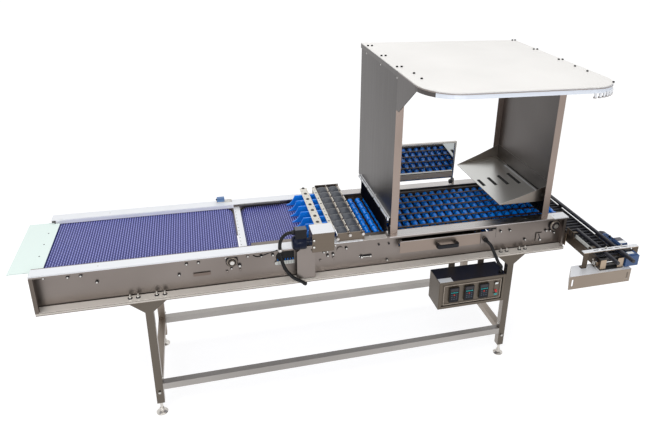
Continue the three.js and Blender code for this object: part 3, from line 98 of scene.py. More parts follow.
# The camera of the photograph
width, height = 650, 433
focal, centre_x, centre_y = 615.273, 387.068, 173.088
yaw, pitch, roll = -0.31456743, -0.39743701, 0.04450177
turn = Matrix.Rotation(yaw, 4, "Z") @ Matrix.Rotation(pi / 2 + pitch, 4, "X")
data = bpy.data.cameras.new("camera")
data.sensor_width = 36
data.lens = focal / width * data.sensor_width
data.shift_x = (width / 2 - centre_x) / width
data.shift_y = (centre_y - height / 2) / width
data.clip_start, data.clip_end = 0.05, 200
camera = placed("camera", data)
place = Matrix.Translation(at(827.184, -3168.421, 2601.051))
camera.matrix_world = place @ turn @ Matrix.Rotation(roll, 4, "Z")
bpy.context.scene.camera = camera


# Materials
def linear(rgb):
    """A colour of 0 to 255 as the renderer's linear colour."""
    def one(value):
        value /= 255
        return value / 12.92 if value <= 0.04045 else ((value + 0.055) / 1.055) ** 2.4
    return (*(one(v) for v in rgb), 1)


def fill(node, **inputs):
    """Sets a node's inputs; a socket that is given as a value is linked."""
    for name, value in inputs.items():
        socket = node.inputs[name.replace("_", " ")]
        if isinstance(value, bpy.types.NodeSocket):
            node.id_data.links.new(value, socket)
        else:
            socket.default_value = value
    return node


def new_node(tree, kind, **inputs):
    return fill(tree.nodes.new("ShaderNode" + kind), **inputs)


def plain(name, rgb, roughness=0.4, metallic=0.0, shine=0.5, coat=0.0):
    made = bpy.data.materials.new(name)
    made.use_nodes = True
    made.diffuse_color = linear(rgb)
    fill(made.node_tree.nodes["Principled BSDF"], Base_Color=linear(rgb), Roughness=roughness,
         Metallic=metallic, Specular_IOR_Level=shine, Coat_Weight=coat)
    return made


def textured(made, rgb, stretch, low, high, spread, bump=0.0):
    """Adds a stretched grain to the roughness and slow clouds to the colour."""
    tree = made.node_tree
    shader = tree.nodes["Principled BSDF"]
    place = new_node(tree, "TexCoord").outputs["Object"]
    mapping = new_node(tree, "Mapping", Vector=place, Scale=stretch)
    grain = new_node(tree, "TexNoise", Vector=mapping.outputs["Vector"], Scale=1, Detail=3).outputs["Fac"]
    gloss = new_node(tree, "MapRange", Value=grain, To_Min=low, To_Max=high)
    clouds = new_node(tree, "TexNoise", Vector=place, Scale=2.3, Detail=2)
    ramp = new_node(tree, "ValToRGB", Fac=clouds.outputs["Fac"])
    for element, position, shift in zip(ramp.color_ramp.elements, (0.3, 0.7), (-spread, spread)):
        element.position = position
        element.color = linear([min(255, v + shift) for v in rgb])
    fill(shader, Roughness=gloss.outputs["Result"], Base_Color=ramp.outputs["Color"])
    if bump:
        relief = new_node(tree, "Bump", Strength=bump, Distance=0.0004, Height=grain)
        fill(shader, Normal=relief.outputs["Normal"])
    return made


def steel(name, rgb, along="x", spread=9, low=0.28, high=0.46):
    """Steel brushed along an axis."""
    stretch = [4 if axis == along else 260 for axis in "xyz"]
    return textured(plain(name, rgb, 0.36, 1.0), rgb, stretch, low, high, spread, 0.12)


# Colour, direction of the brushing, spread of the colour, roughness from and to
STEEL = {
    "stainless": ((129, 121, 116), "x", 8),
    "stretcher_steel": ((162, 158, 154),),
    "drawer_steel": ((140, 127, 118), "x", 4),
    # Painted light on the legs: the front legs in painted shade, their sides and the back legs in lit tones
    # of the same steel
    "leg_steel": ((101, 94, 86), "z", 6),
    "leg_steel_back": ((148, 138, 128), "z"),
    "leg_steel_lit_side": ((150, 143, 136), "z"),
    # Painted light on the hood: tones of one steel for its panels in shade and in deeper shade, and for their
    # lit front faces
    "hood_painted_shade": ((90, 86, 84), "z", 4, 0.3, 0.45),
    "hood_shade": ((77, 73, 71), "z", 4, 0.3, 0.45),
    "hood_lit_faces": ((148, 134, 126), "z", 6, 0.3, 0.45),
    "stainless_box": ((146, 134, 122), "x", 5, 0.34, 0.5),
    "box_front": ((106, 98, 89), "x", 6, 0.34, 0.5),
    "cover_steel": ((110, 100, 90), "x", 3, 0.4, 0.55),
    # Painted shade along the edges of the channels' folds
    "fold_steel": ((112, 101, 92), "x", 6, 0.4, 0.55),
    "rail_steel": ((196, 192, 190), "x", 10, 0.22, 0.36),
    "tray_steel": ((202, 202, 199), "y", 6, 0.26, 0.34),
    # The tray's ends in a tone halfway between their lit and shaded looks
    "tray_end_half_shade": ((142, 134, 126), "x", 8, 0.3, 0.42),
    "nose_tan": ((172, 154, 134), "z", 8, 0.36, 0.5),
    "plate_dark": ((92, 82, 72), "z", 8, 0.36, 0.5),
}
# Colour, roughness, metallic, shine, coat
PLAIN = {
    "hood_pale": ((222, 228, 238), 0.4, 0.3),
    # White film on the rails and plates; also a pale band of painted light under the back lip and a painted
    # highlight on the tray's fold
    "rail_film": ((232, 234, 238), 0.38, 0.25),
    "bright_steel": ((206, 203, 198), 0.26, 1.0),
    "zinc": ((200, 198, 194), 0.3, 1.0),
    "dark_bolt": ((82, 80, 80), 0.4, 0.8),
    "dark_gap": ((22, 22, 24), 0.8),
    "mint": ((226, 242, 237), 0.22, 0, 0.5, 0.3),
    "belt_violet": ((22, 28, 108), 0.42),
    # The belt's ridges painted far lighter than the belt, a painted highlight on their tops
    "belt_ridge": ((150, 154, 214), 0.34),
    "roller_blue": ((0, 132, 242), 0.16),
    "fin_blue": ((16, 128, 232), 0.34, 0, 0.5, 0.2),
    "brown": ((64, 44, 32), 0.6),
    "band_brown": ((40, 26, 20), 0.5),
    "bead_white": ((232, 226, 212),),
    "pad_black": ((30, 31, 40),),
    "hose_black": ((6, 6, 10), 0.4, 0, 0.25),
    "bristle_black": ((4, 5, 18), 0.6, 0, 0.2),
    "box_black": ((12, 12, 20), 0.3, 0, 0.25),
    "motor_navy": ((2, 12, 38), 0.3, 0, 0.16),
    "gear_blue": ((52, 82, 128), 0.28),
    "label_white": ((236, 238, 238), 0.35),
    # Dark bezels of the keypads, and painted shade on the control box's top
    "lid_dark": ((50, 47, 52), 0.36, 0.3),
    "glass_black": ((6, 8, 16), 0.3, 0, 0.25),
    "key_grey": ((52, 62, 76),),
    "key_teal": ((34, 172, 172),),
    "key_red": ((196, 48, 44),),
    "switch_red": ((206, 22, 30), 0.28, 0, 0.5, 0.4),
    "mirror_silver": ((226, 232, 236), 0.04, 1.0),
    "tooth_white": ((206, 208, 204),),
    "plate_tan": ((120, 106, 98), 0.5, 0.4),
    "bearing_tan": ((124, 114, 104), 0.3, 0.5),
    # A grey plate on the gear motor, and a painted sheen on the top of the crank motor's terminal box
    "lid_grey": ((88, 88, 97),),
    "rim_brown": ((150, 138, 132),),
    "lip_face": ((196, 190, 182), 0.34, 0.5),
    # A painted highlight on the flange tops, and painted shade over the channels' left end returns
    "flange_top": ((232, 227, 220), 0.32, 0.3),
    "end_brown": ((104, 94, 86), 0.4, 0.3),
    "narrow_lip": ((186, 180, 174), 0.4, 0.2),
    "bracket_tan": ((172, 160, 148), 0.4, 0.4),
    "sensor_blue": ((96, 128, 170), 0.3, 0.3),
    # Dark screws and marks, and the painted shade of dark washers, bearing rings and roller collars
    "mark_dark": ((34, 33, 38), 0.5, 0, 0.2),
    "bolt_black": ((8, 8, 10), 0.7, 0, 0),
    "foot_steel": ((206, 202, 196), 0.28, 1.0),
}
# Colour, roughness, stretch of the grain, roughness from and to, spread of the colour
GRAINED = {
    "white_top": ((232, 230, 227), 0.45, (40, 40, 40), 0.4, 0.5, 4),
    "flap_rubber": ((64, 68, 76), 0.4, (60, 20, 60), 0.3, 0.5, 6),
    "bar_cream": ((222, 218, 208), 0.4, (60, 60, 60), 0.35, 0.5, 6),
}
MATERIALS = {name: steel(name, *row) for name, row in STEEL.items()}
MATERIALS |= {name: plain(name, *row) for name, row in PLAIN.items()}
for name, (rgb, roughness, *grain) in GRAINED.items():
    MATERIALS[name] = textured(plain(name, rgb, roughness), rgb, *grain)


# Geometry: a piece collects points in the machine's millimetres and faces with a material number
class Shape:
    def __init__(self):
        self.points, self.faces, self.slots = [], [], []

    def add(self, points, faces, slot=0):
        base = len(self.points)
        self.points.extend(points)
        self.faces.extend([base + i for i in face] for face in faces)
        self.slots.extend([slot] * len(faces))
        return self

    def box(self, x0, x1, y0, y1, z0, z1, slot=0):
        points = list(product(sorted((x0, x1)), sorted((y0, y1)), sorted((z0, z1))))
        faces = [(0, 1, 3, 2), (4, 6, 7, 5), (0, 4, 5, 1), (2, 3, 7, 6), (0, 2, 6, 4), (1, 5, 7, 3)]
        return self.add(points, faces, slot)

    def boxes(self, *rows):
        for row in rows:
            self.box(*row)
        return self

    def turned(self, axis, place, profile, sides=24, slot=0):
        """A revolved profile of (radius, distance along the axis) round a line through place."""
        rings, points, faces = [], [], []
        for radius, along in profile:
            count = sides if radius else 1
            rings.append([len(points) + i for i in range(count)])
            for i in range(count):
                angle = 2 * pi * i / sides
                points.append(on_axis(axis, place, radius * cos(angle), radius * sin(angle), along))
        for low, high in zip(rings, rings[1:]):
            for i in range(sides):
                j = (i + 1) % sides
                corners = low[i % len(low)], low[j % len(low)], high[j % len(high)], high[i % len(high)]
                faces.append(tuple(dict.fromkeys(corners)))
        faces += [ring for ring in (rings[0][::-1], rings[-1]) if len(ring) > 1]
        return self.add(points, faces, slot)

    def round(self, axis, span, place, radius, sides=24, slot=0, chamfer=0.0):
        low, high = sorted(span)
        centre = {"x": (0, *place), "y": (place[0], 0, place[1]), "z": (*place, 0)}[axis]
        profile = [(radius, low), (radius, high)]
        if chamfer:
            profile = [(radius - chamfer, low), (radius, low + chamfer), (radius, high - chamfer),
                       (radius - chamfer, high)]
        return self.turned(axis, centre, profile, sides, slot)

    def prism(self, axis, span, outline, slot=0):
        index = "xyz".index(axis)
        points = [(*p[:index], d, *p[index:]) for d in sorted(span) for p in outline]
        count = len(outline)
        faces = [range(count), range(2 * count - 1, count - 1, -1)]
        for i in range(count):
            j = (i + 1) % count
            faces.append((i, i + count, j + count, j))
        return self.add(points, faces, slot)

    def tube(self, route, radius, sides, step, ribs=0.0):
        """A tube along a smooth route; ribs is the depth of the rings of a corrugated hose."""
        line = smooth_line(route, step)
        points, faces = [], []
        normal = None
        for i, point in enumerate(line):
            tangent = (line[min(i + 1, len(line) - 1)] - line[max(i - 1, 0)]).normalized()
            if normal is None:
                upright = abs(tangent.z) >= 0.9
                normal = tangent.cross(Vector((1, 0, 0) if upright else (0, 0, 1))).normalized()
            normal = (normal - tangent * normal.dot(tangent)).normalized()
            side = tangent.cross(normal)
            size = radius - (ribs if i % 2 else 0)
            for k in range(sides):
                angle = 2 * pi * k / sides
                points.append(tuple(point + (normal * cos(angle) + side * sin(angle)) * size))
        for i in range(0, (len(line) - 1) * sides, sides):
            for k in range(sides):
                n = (k + 1) % sides
                faces.append((i + k, i + n, i + sides + n, i + sides + k))
        faces += [range(sides - 1, -1, -1), range(len(points) - sides, len(points))]
        return self.add(points, faces)

    def bolt(self, axis, way, place, radius=6, height=5, slot=0, washer=1.5, ring=None):
        """A hexagon head on a washer. way is 1 or -1 along the axis, place the point it sits on."""
        index = "xyz".index(axis)
        flat = tuple(v for i, v in enumerate(place) if i != index)
        base = place[index]
        top = base + way * washer
        self.round(axis, (base, top), flat, radius * 1.45, 16, slot if ring is None else ring)
        return self.round(axis, (top, base + way * (washer + height)), flat, radius, 6, slot, 0.6)

    def dome(self, axis, way, place, radius=4, height=2.5, slot=0):
        """A round button head."""
        index = "xyz".index(axis)
        centre = [0 if i == index else v for i, v in enumerate(place)]
        base = place[index]
        profile = [(radius * cos(a), base + way * height * sin(a)) for a in (0, 0.5, 1.0, 1.35)]
        return self.turned(axis, centre, profile[::way], 14, slot)

    def make(self, name, materials, smooth=30, bevel=0.0, body="frame", replaces=(), slot=None, segments=2):
        """The piece itself; bevel rounds its edges a little, as bent sheet and moulded parts are."""
        mesh = bpy.data.meshes.new(name)
        mesh.from_pydata([tuple(at(*p)) for p in self.points], [], self.faces)
        for face, number in zip(mesh.polygons, self.slots):
            face.material_index = number
        for made in materials.split():
            mesh.materials.append(MATERIALS[made])
        work = bmesh.new()
        work.from_mesh(mesh)
        bmesh.ops.recalc_face_normals(work, faces=work.faces)
        work.to_mesh(mesh)
        work.free()
        mesh.shade_smooth()
        mesh.set_sharp_from_angle(angle=radians(smooth))
        piece = placed(name, mesh)
        if bevel:
            rounded = piece.modifiers.new("rounded edges", "BEVEL")
            rounded.width = bevel * MM
            rounded.segments = segments
            rounded.limit_method = "ANGLE"
            rounded.angle_limit = radians(40)
            rounded.harden_normals = True
        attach(piece, body)
        if replaces:
            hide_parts(*replaces)


def on_axis(axis, place, a, b, along):
    """The point a and b across the axis and so far along it, seen from place."""
    x, y, z = place
    if axis == "x":
        return (x + along, y + a, z + b)
    if axis == "y":
        return (x + b, y + along, z + a)
    return (x + a, y + b, z + along)


def smooth_line(route, step):
    """Points spaced by about step along a Catmull-Rom curve through the route."""
    knots = [Vector(p) for p in route]
    knots = [2 * knots[0] - knots[1], *knots, 2 * knots[-1] - knots[-2]]
    line = []
    for p0, p1, p2, p3 in zip(knots, knots[1:], knots[2:], knots[3:]):
        count = max(1, round((p2 - p1).length / step))
        for i in range(count):
            t = i / count
            line.append(0.5 * (2 * p1 + (p2 - p0) * t + (2 * p0 - 5 * p1 + 4 * p2 - p3) * t * t
                               + (3 * p1 - p0 - 3 * p2 + p3) * t * t * t))
    line.append(knots[-2])
    return line


def arc(centre, radius, start, end, count):
    """Points of an arc, angles in degrees."""
    angles = [radians(start + (end - start) * i / count) for i in range(count + 1)]
    return [(centre[0] + radius * cos(a), centre[1] + radius * sin(a)) for a in angles]


def paint(nodes, made, **facing):
    """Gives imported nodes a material; the faces that look along a named axis may have their own."""
    for name in nodes.split():
        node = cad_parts[name]
        node.data.materials.clear()
        node.data.materials.append(MATERIALS[made])
        turn = node.matrix_world.to_3x3().normalized()
        for axis, other in facing.items():
            node.data.materials.append(MATERIALS[other])
            for face in node.data.polygons:
                if abs((turn @ face.normal)["xyz".index(axis)]) > 0.7:
                    face.material_index = len(node.data.materials) - 1


paint("side_channel_front side_channel_back motor_bracket", "stainless")
paint("stretcher_front stretcher_back", "stretcher_steel")
paint("cross_plate_left cross_plate_right", "plate_dark", y="nose_tan", z="mark_dark")
paint("drawer", "drawer_steel")
# Front legs painted in shade with lit sides; the back legs, cross members and the control box's hangers in
# the lit tone
paint("leg_front_left leg_front_right", "leg_steel", x="leg_steel_lit_side")
paint("leg_back_left leg_back_right cross_member_left cross_member_right", "leg_steel_back")
# The hood's left panel in deeper painted shade; the right panel and the rim's underside, ends and gussets in
# painted shade; the panels' front faces in a lit tone
paint("hood_panel_left", "hood_shade", y="hood_lit_faces")
paint("hood_panel_right", "hood_painted_shade", y="hood_lit_faces")
paint("hood_rim", "hood_pale", z="hood_painted_shade", x="hood_painted_shade")
paint("crank_cover", "cover_steel", z="bar_cream")
paint("end_box", "stainless_box", z="rail_film")
paint("control_door", "box_front")
paint("transfer_plate", "rail_film")
paint("flap_bracket_front flap_bracket_back", "cover_steel", z="bracket_tan")
paint("crank_disc mirror_frame infeed_idler_shaft infeed_drive_shaft lane_idler_shaft lane_drive_shaft",
      "bright_steel")
paint("cross_drive_shaft cross_idler_shaft", "dark_bolt")
# The tray's wall in the hood's painted shade so that it merges with the panel; its ends in one half-shaded
# tone
paint("tray", "tray_steel", x="hood_painted_shade", y="tray_end_half_shade")
paint("mirror_glass", "mirror_silver")
paint("inlet_plate", "mint")
paint("hood_top", "white_top")
paint("power_switch", "switch_red")


def belt_piece(name, node, left, right):
    """A closed loop of hinged modules with short raised ridges, shifted from row to row."""
    shape = Shape()
    axis_z = BELT_TOP - BELT_RADIUS
    ridge_height, ridge_width, ridge_gap, row_pitch, ridge_pitch = 2.2, 5.4, 6.0, 12.7, 25.4
    outer, inner = BELT_RADIUS - ridge_height, BELT_RADIUS - 10
    ends = (left + BELT_RADIUS, right - BELT_RADIUS)
    straight = ends[1] - ends[0]
    half_loop = straight + pi * BELT_RADIUS
    rings = [arc((ends[1], axis_z), radius, -90, 90, 20) + arc((ends[0], axis_z), radius, 90, 270, 20)
             for radius in (outer, inner)]
    n = len(rings[0])
    points = [(x, side * BELT_HALF, z) for side in (-1, 1) for ring in rings for x, z in ring]
    faces = []
    for i in range(n):
        j = (i + 1) % n
        faces += [(i, j, 2 * n + j, 2 * n + i), (n + j, n + i, 3 * n + i, 3 * n + j), (i, n + i, n + j, j),
                  (2 * n + i, 2 * n + j, 3 * n + j, 3 * n + i)]
    shape.add(points, faces)

    def on_loop(distance, height):
        """The point at a distance along the loop, at a height over the base, and the loop's direction."""
        lower, distance = divmod(distance, half_loop)
        way = -1 if lower % 2 else 1
        first, last = ends[::way]
        radius = way * (outer + height)
        if distance < straight:
            return first + way * distance, axis_z + radius, way, 0
        angle = (distance - straight) / BELT_RADIUS
        across, along = sin(angle), cos(angle)
        return last + radius * across, axis_z + radius * along, way * along, -way * across

    # Each ridge gets the lighter colour, a painted highlight on its top
    for row in range(round(2 * half_loop / row_pitch)):
        y = -BELT_HALF + 1 + (row % 2) * ridge_pitch / 2 - ridge_pitch
        while y < BELT_HALF:
            low, high = max(y, -BELT_HALF + 1), min(y + ridge_pitch - ridge_gap, BELT_HALF - 1)
            if high - low > 3:
                corners = []
                for height, half in ((-0.3, ridge_width / 2), (ridge_height, ridge_width / 4)):
                    x, z, dx, dz = on_loop(row * row_pitch, height)
                    corners += [(x + sign * dx * half, side, z + sign * dz * half)
                                for sign in (-1, 1) for side in (low, high)]
                shape.add(corners, [(4, 5, 7, 6), (0, 1, 5, 4), (2, 6, 7, 3), (0, 4, 6, 2), (1, 3, 7, 5)], 1)
            y += ridge_pitch
    shape.make(name, "belt_violet belt_ridge", replaces=[node], slot="belt_plastic")


belt_piece("infeed_belt_ribbed", "infeed_belt", 6, 982)
belt_piece("lane_belt_ribbed", "lane_belt", 1022, 1438)

# Films and lips of the rails, folds of the channels with a painted highlight and painted shade, strips at the
# belts with a band of painted light, and the cover between
film = 0.2
under, over = RAIL_TOP - film, RAIL_TOP + film
shape = Shape()
front_spans = [(0, 1631, LIP_INNER, 0), (1633, 1768, LIP_INNER + 30, 2), (1782, 2818, LIP_INNER, 1),
               (2818, LENGTH, LIP_INNER, 0)]
for start, end, inner, number in front_spans:
    shape.box(start, end, -HALF_WIDTH - film, -inner, under, over, number)
    shape.box(start, end, -HALF_WIDTH - film, -HALF_WIDTH + film, RAIL_TOP - 5, over, number)
for start, end, number in [(0, 1631, 0), (1633, LENGTH, 1)]:
    shape.box(start, end, LIP_INNER, HALF_WIDTH + film, under, over, number)
    shape.box(start, end, HALF_WIDTH - film, HALF_WIDTH + film, RAIL_TOP - 5, over, number)
    shape.box(start, end, LIP_INNER - film, LIP_INNER + film, RAIL_TOP - 3.2, over, number)
shape.make("rail_covers", "rail_film rail_steel narrow_lip")

screws = Shape()
for y in (138, 14, -109):
    screws.dome("z", 1, (8, y, 948.6), 3.6, 1.6, 1)
for x, y in [(1504, -290), (1618, -290), (1681, -290), (2410, -293), (2646, -290), (2834, -295),
             (1504, 290), (1681, 290), (2410, 293), (2834, 295), (300, -295), (300, 295)]:
    screws.dome("z", 1, (x, y, RAIL_TOP), 4.2, 1.8)
screws.make("rail_screws", "zinc mark_dark", 40)

# Folds of the channels: painted shade along the edges of the lower lip and over the left end returns, a
# painted highlight on the flange tops, the lip's own face between
folds = Shape()
for side in (-1, 1):
    outer, inner = side * (HALF_WIDTH + film), side * (HALF_WIDTH - 2)
    span = (0.5, LENGTH - 0.5, outer)
    folds.boxes((*span, inner, RAIL_TOP - 14, RAIL_TOP - 5.1), (*span, inner, 745, 754, 1),
                (*span, inner, 741.2, 745, 2), (*span, inner, 754, 756.8, 2),
                (*span, side * (WEB + 0.2), 756.8, 758, 3), (-0.3, 18, outer, inner, 757, RAIL_TOP - 14, 4))
folds.make("channel_folds", "stainless lip_face fold_steel flange_top end_brown", bevel=0.4)

# Dark strips at the edges of the lane belt, and along the infeed belt a pale band painted over the shade on
# the inner face of the back lip
low, high = RAIL_TOP - 9, RAIL_TOP - 3.3
Shape().boxes((1020, 1262, 243, LIP_INNER, low, high), (1120, 1262, -LIP_INNER, -243, low, high),
              (24, 985, LIP_INNER - 2.5, LIP_INNER - 0.2, RAIL_TOP - 23, high, 1)).make(
    "guide_strips_and_lit_band", "dark_bolt rail_film")
Shape().box(-3, 47, -250, 250, 946, 948.6).make("inlet_edge", "mint", bevel=0.5)

cover = Shape().box(984, 1020, -LIP_INNER, LIP_INNER, 940, 942.4)
for i in range(13):
    cover.dome("z", 1, (992, -240 + i * 40, 942.4), 3, 0.8, 1)
cover.make("transfer_cover", "rail_film mark_dark", bevel=0.4)

# Fasteners, dimples and the bare plate on the webs of the side channels
shape = Shape()
# The dark washers under these bolt heads are painted shade round each head
small = (5.6, 4.5, 0, 1.2, 1)
for x, z in [(155, 907), (213, 907), (281, 861), (708, 905), (767, 906), (668, 846), (909, 923),
             (1017, 911), (1087, 903), (1148, 901), (1489, 917), (1477, 862), (1552, 890), (1425, 882),
             (1444, 884), (1447, 857), (2500, 884), (2562, 884), (2673, 808), (1792, 783)]:
    shape.bolt("y", -1, (x, -WEB, z), *small)
for x, z in [(155, 907), (708, 906), (1017, 911), (1477, 864), (2500, 884), (2673, 808)]:
    shape.bolt("y", 1, (x, WEB, z), *small)
for x, z in [(907, 830), (976, 832), (1407, 830), (1480, 837)]:
    shape.dome("y", -1, (x, -WEB, z), 7, 1.2, 2)
for x, z in [(1740, 889), (1799, 888)]:
    shape.dome("y", -1, (x, -WEB, z), 6, 1.5, 1)
for x in (425, 463, 552, 591, 2502, 2541, 2626, 2665):
    for side in (-1, 1):
        shape.bolt("z", 1, (x, side * 299, 758), 8, 8, 0, 2, 1)
        shape.round("z", (768, 780), (x, side * 299), 4.5, 12)
shape.bolt("y", -1, (1640, -WEB, 824), 7, 7, 0, 2, 1)
shape.round("x", (1648, 1692), (-WEB - 3, 824), 3, 10)
shape.round("y", (-WEB - 6, -WEB), (1692, 824), 5, 12)
shape.bolt("y", -1, (2774, -WEB, 797), 7, 7, 0, 2, 1)
shape.bolt("y", -1, (50, -WEB, 917), 5.6, 4, 0, 1.2, 1)
shape.round("y", (-WEB - 0.8, -WEB + 0.5), (IDLER_X, SHAFT_Z), 17, 28, 2)
shape.make("web_bolts", "zinc mark_dark stainless", 40)

Shape().box(737, 824, -WEB - 1.2, -WEB + 0.5, 826, 843).make("bare_plate", "plate_tan", bevel=0.5)

# Dark sheets just inside the web, painted shade behind two openings in it
inside = (-WEB + 3.2, -WEB + 4.2)
Shape().boxes((1640, 1700, *inside, 815, 833), (2427, 2470, *inside, 846, 916)).make(
    "opening_painted_shade", "dark_gap")
cover = Shape().boxes((2424, 2466, -WEB - 0.8, -WEB, 846, 903), (2746, 2790, -WEB - 0.8, -WEB, 784, 842))
cover.prism("y", (-WEB - 1.2, -WEB - 0.8), [(2758, 838), (2764, 839), (2776, 806), (2770, 805)], 1)
cover.make("web_covers", "stainless mark_dark")

# The window in the front web shows the toothed edge of the lane belt over a pale guide, with a dark sheet
# behind it as painted shade
shape = Shape().box(1163.5, 1262, -266.8, -266, 846, 914, 2)
shape.prism("y", (-WEB - 2.4, -WEB), [*arc((1168, 848), 11, 90, 270, 8), (1262, 837), (1262, 859)])
for i in range(7):
    x = 1172 + i * 13.5
    shape.box(x, x + 4, -273, -267, 859, 868, 1)
    shape.box(x + 5, x + 6.4, -WEB - 2.6, -WEB, 838, 858, 2)
shape.make("window_guide", "tooth_white fin_blue dark_gap", bevel=0.4)

# Flange bearings: a turned body on a dark disc, painted as the shade round it, with a painted dark ring in
# its recess, the shaft's end and the fixing bolts on dark washers of painted shade
shape = Shape()
left = (935, BELT_TOP - BELT_RADIUS, 29.5, [(38, -31, 7), (-4, -41, 4.5), (-32, 27, 4.5)])
right = (DRIVE_X, SHAFT_Z, 36, [(-55, -31, 6), (-28, -34, 5), (1, -50, 5)])
for x, z, radius, bolts in (left, right):
    for side in (-1, 1):
        shape.round("y", (side * WEB, side * (WEB + 3)), (x, z), radius + 2.5, 36, 2)
        rings = [(radius - 2, 3), (radius - 2, 8), (radius - 6, 12), (radius - 9, 13), (radius - 9.6, 9),
                 (15.6, 9), (15.6, 16), (14, 18), (0, 18)]
        shape.turned("y", (x, 0, z), [(r, side * (WEB + h)) for r, h in rings], 36)
        shape.round("y", (side * (WEB + 9), side * (WEB + 9.6)), (x, z), radius - 9.6, 28, 2)
        shape.round("y", (side * (WEB + 17), side * (WEB + 21)), (x, z), 11, 20, 1)
        for dx, dz, size in bolts:
            shape.bolt("y", side, (x + dx, side * WEB, z + dz), size, 6, 1, 2, 2)
shape.make("flange_bearings", "bearing_tan zinc mark_dark", 40)

# Lane dividers: blue fins under two bright cross bars with bolts
fins = Shape()
tip_z, heel_z, top, bar_top = BELT_TOP + 2, 963.5, 1002, 1007
outline = [(1296, tip_z), (1438, tip_z), (1448, heel_z), (1489, heel_z), (1489, top), (1350, top)]
ends = ((1346, top - 1), (1330, 953), (1296, tip_z + 5))
for i in range(13):
    t = i / 12
    outline.append(tuple((1 - t) ** 2 * a + 2 * t * (1 - t) * b + t * t * c for a, b, c in zip(*ends)))
for i in range(LANES + 1):
    y = (i - LANES / 2) * LANE_PITCH
    fins.prism("y", (y - 4.5, y + 4.5), outline)
fins.make("divider_fins", "fin_blue", 40, 2.2, "divider_comb", ["lane_divider_comb"], "blue_plastic", 3)

foot = RAIL_TOP + 0.4
Shape().boxes((1391.5, 1436.5, -256, 317, top, bar_top), (1468, 1490, -256, 317, top, bar_top),
              (1406, 1422, 301, 317, foot, top), (1471, 1487, 301, 317, foot, top),
              (1406, 1422, -278, -250, top, bar_top)).make(
    "divider_bars", "bar_cream", bevel=0.8, body="divider_comb")

bolts = Shape()
for y in (311, 229, 152, 76, 0, -76, -152, -229):
    bolts.bolt("z", 1, (1414, y, bar_top), 7, 4, 0, 1.4)
    bolts.dome("z", 1, (1479, y, bar_top), 6, 2)
for i in range(8):
    for x, size in ((1400, 2.2), (1428, 2.2), (1479, 2.6)):
        bolts.dome("z", 1, (x, 270 - i * LANE_PITCH, bar_top), size, 0.8, 1)
bolts.make("divider_bolts", "dark_bolt brown", 40, body="divider_comb")


def flap_piece(name, node, body, x_from, x_to):
    """Arched rubber sheets side by side, flat along the rods."""
    shape = Shape()
    count, valley, crown, thickness = 8, 1002.5, 19, 3
    across, along = count * 16, 10
    first = -count * LANE_PITCH / 2
    for drop in (0, thickness):
        points, faces = [], []
        for i in range(across + 1):
            y = first + i * count * LANE_PITCH / across
            lift = crown * abs(sin(pi * i / 16)) ** 0.8
            for j in range(along + 1):
                u = j / along
                hump = 0.15 + 0.85 * sin(pi * u) ** 0.5
                points.append((x_from + (x_to - x_from) * u, y, valley + lift * hump - drop))
        for i in range(across):
            for j in range(along):
                a = i * (along + 1) + j
                b = a + along + 1
                faces.append((a, a + 1, b + 1, b) if drop else (a, b, b + 1, a + 1))
        shape.add(points, faces)
    for i in range(count + 1):
        y = first + i * LANE_PITCH
        shape.box(x_from + 1, x_to - 1, y - 0.9, y + 0.9, valley - 2, valley + 1.6, 1)
    shape.make(name, "flap_rubber bracket_tan", 50, body=body, replaces=[node], slot="rubber")


flap_piece("flap_row_entry_arched", "flap_row_entry", "flap_entry", 1494, 1552)
flap_piece("flap_row_exit_arched", "flap_row_exit", "flap_exit", 1564, 1625)

# Rods with beads between the flaps, and the bolts of their brackets
shape = Shape()
beads = 32
for x in (1558, 1631):
    shape.round("y", (-322, 322), (x, 1010), 2.6, 12)
    for i in range(beads + 1):
        place = (x, -305 + i * 610 / beads, 1010)
        shape.turned("y", place, [(2.4, -4), (4.4, -2.4), (4.4, 2.4), (2.4, 4)], 12, 1 if i % 4 else 2)
for side in (-1, 1):
    for x, z in ((1490, 985), (1558, 1000), (1631, 1000)):
        shape.bolt("y", side, (x, side * HALF_WIDTH, z))
    for x in (1506, 1626):
        shape.bolt("z", 1, (x, side * 302, RAIL_TOP + 3.3))
shape.make("flap_rods", "rail_steel bead_white brown", 40)

# Crank drive: motor with its terminal box, screws and edge of the cover
motor_y, motor_z, left, right = -345, 1000, 1243, 1316
profile = [(0, left - 2), (22, left - 2), (30, left), (36, left + 5), (38, left + 10), (38, left + 26),
           (36.6, left + 27), (36.6, left + 29), (38, left + 30), (38, right - 8), (34, right - 2),
           (19, right), (19, right + 12), (22, right + 13), (22, 1345.6), (0, 1345.6)]
Shape().turned("x", (0, motor_y, motor_z), profile, 40).make(
    "crank_motor_shell", "motor_navy", 35, replaces=["crank_motor"], slot="motor_paint")

# The terminal box is black with a lighter grey top plate, a painted sheen on its top
box = Shape()
parts = [(1256, 22, 1030, 1068, 0), (1254.5, 23.5, 1068, 1082, 0), (1257, 21, 1081.5, 1083.5, 1)]
for x, half, low, high, number in parts:
    box.box(x, 2572 - x, motor_y - half, motor_y + half, low, high, number)
box.round("x", (1240, 1257), (motor_y, 1062), 12.5, 6, 0, 1)
box.make("motor_terminal_box", "box_black lid_grey", 35, 2.5, slot="black_plastic", segments=3)

detail = Shape()
for z in (1008.5, 968.4):
    detail.dome("y", -1, (1355, -364, z), 6.5, 2.6)
detail.box(1345.4, 1465.6, -364.6, -262, 1049.6, 1050.5, 1)
detail.make("crank_cover_details", "zinc rail_film", 35)


def hose(name, node, route):
    """A corrugated hose that is fixed at both ends."""
    Shape().tube(route, 9.5, 18, 2.2, 1.1).make(name, "hose_black", 50, replaces=[node], slot="black_plastic")


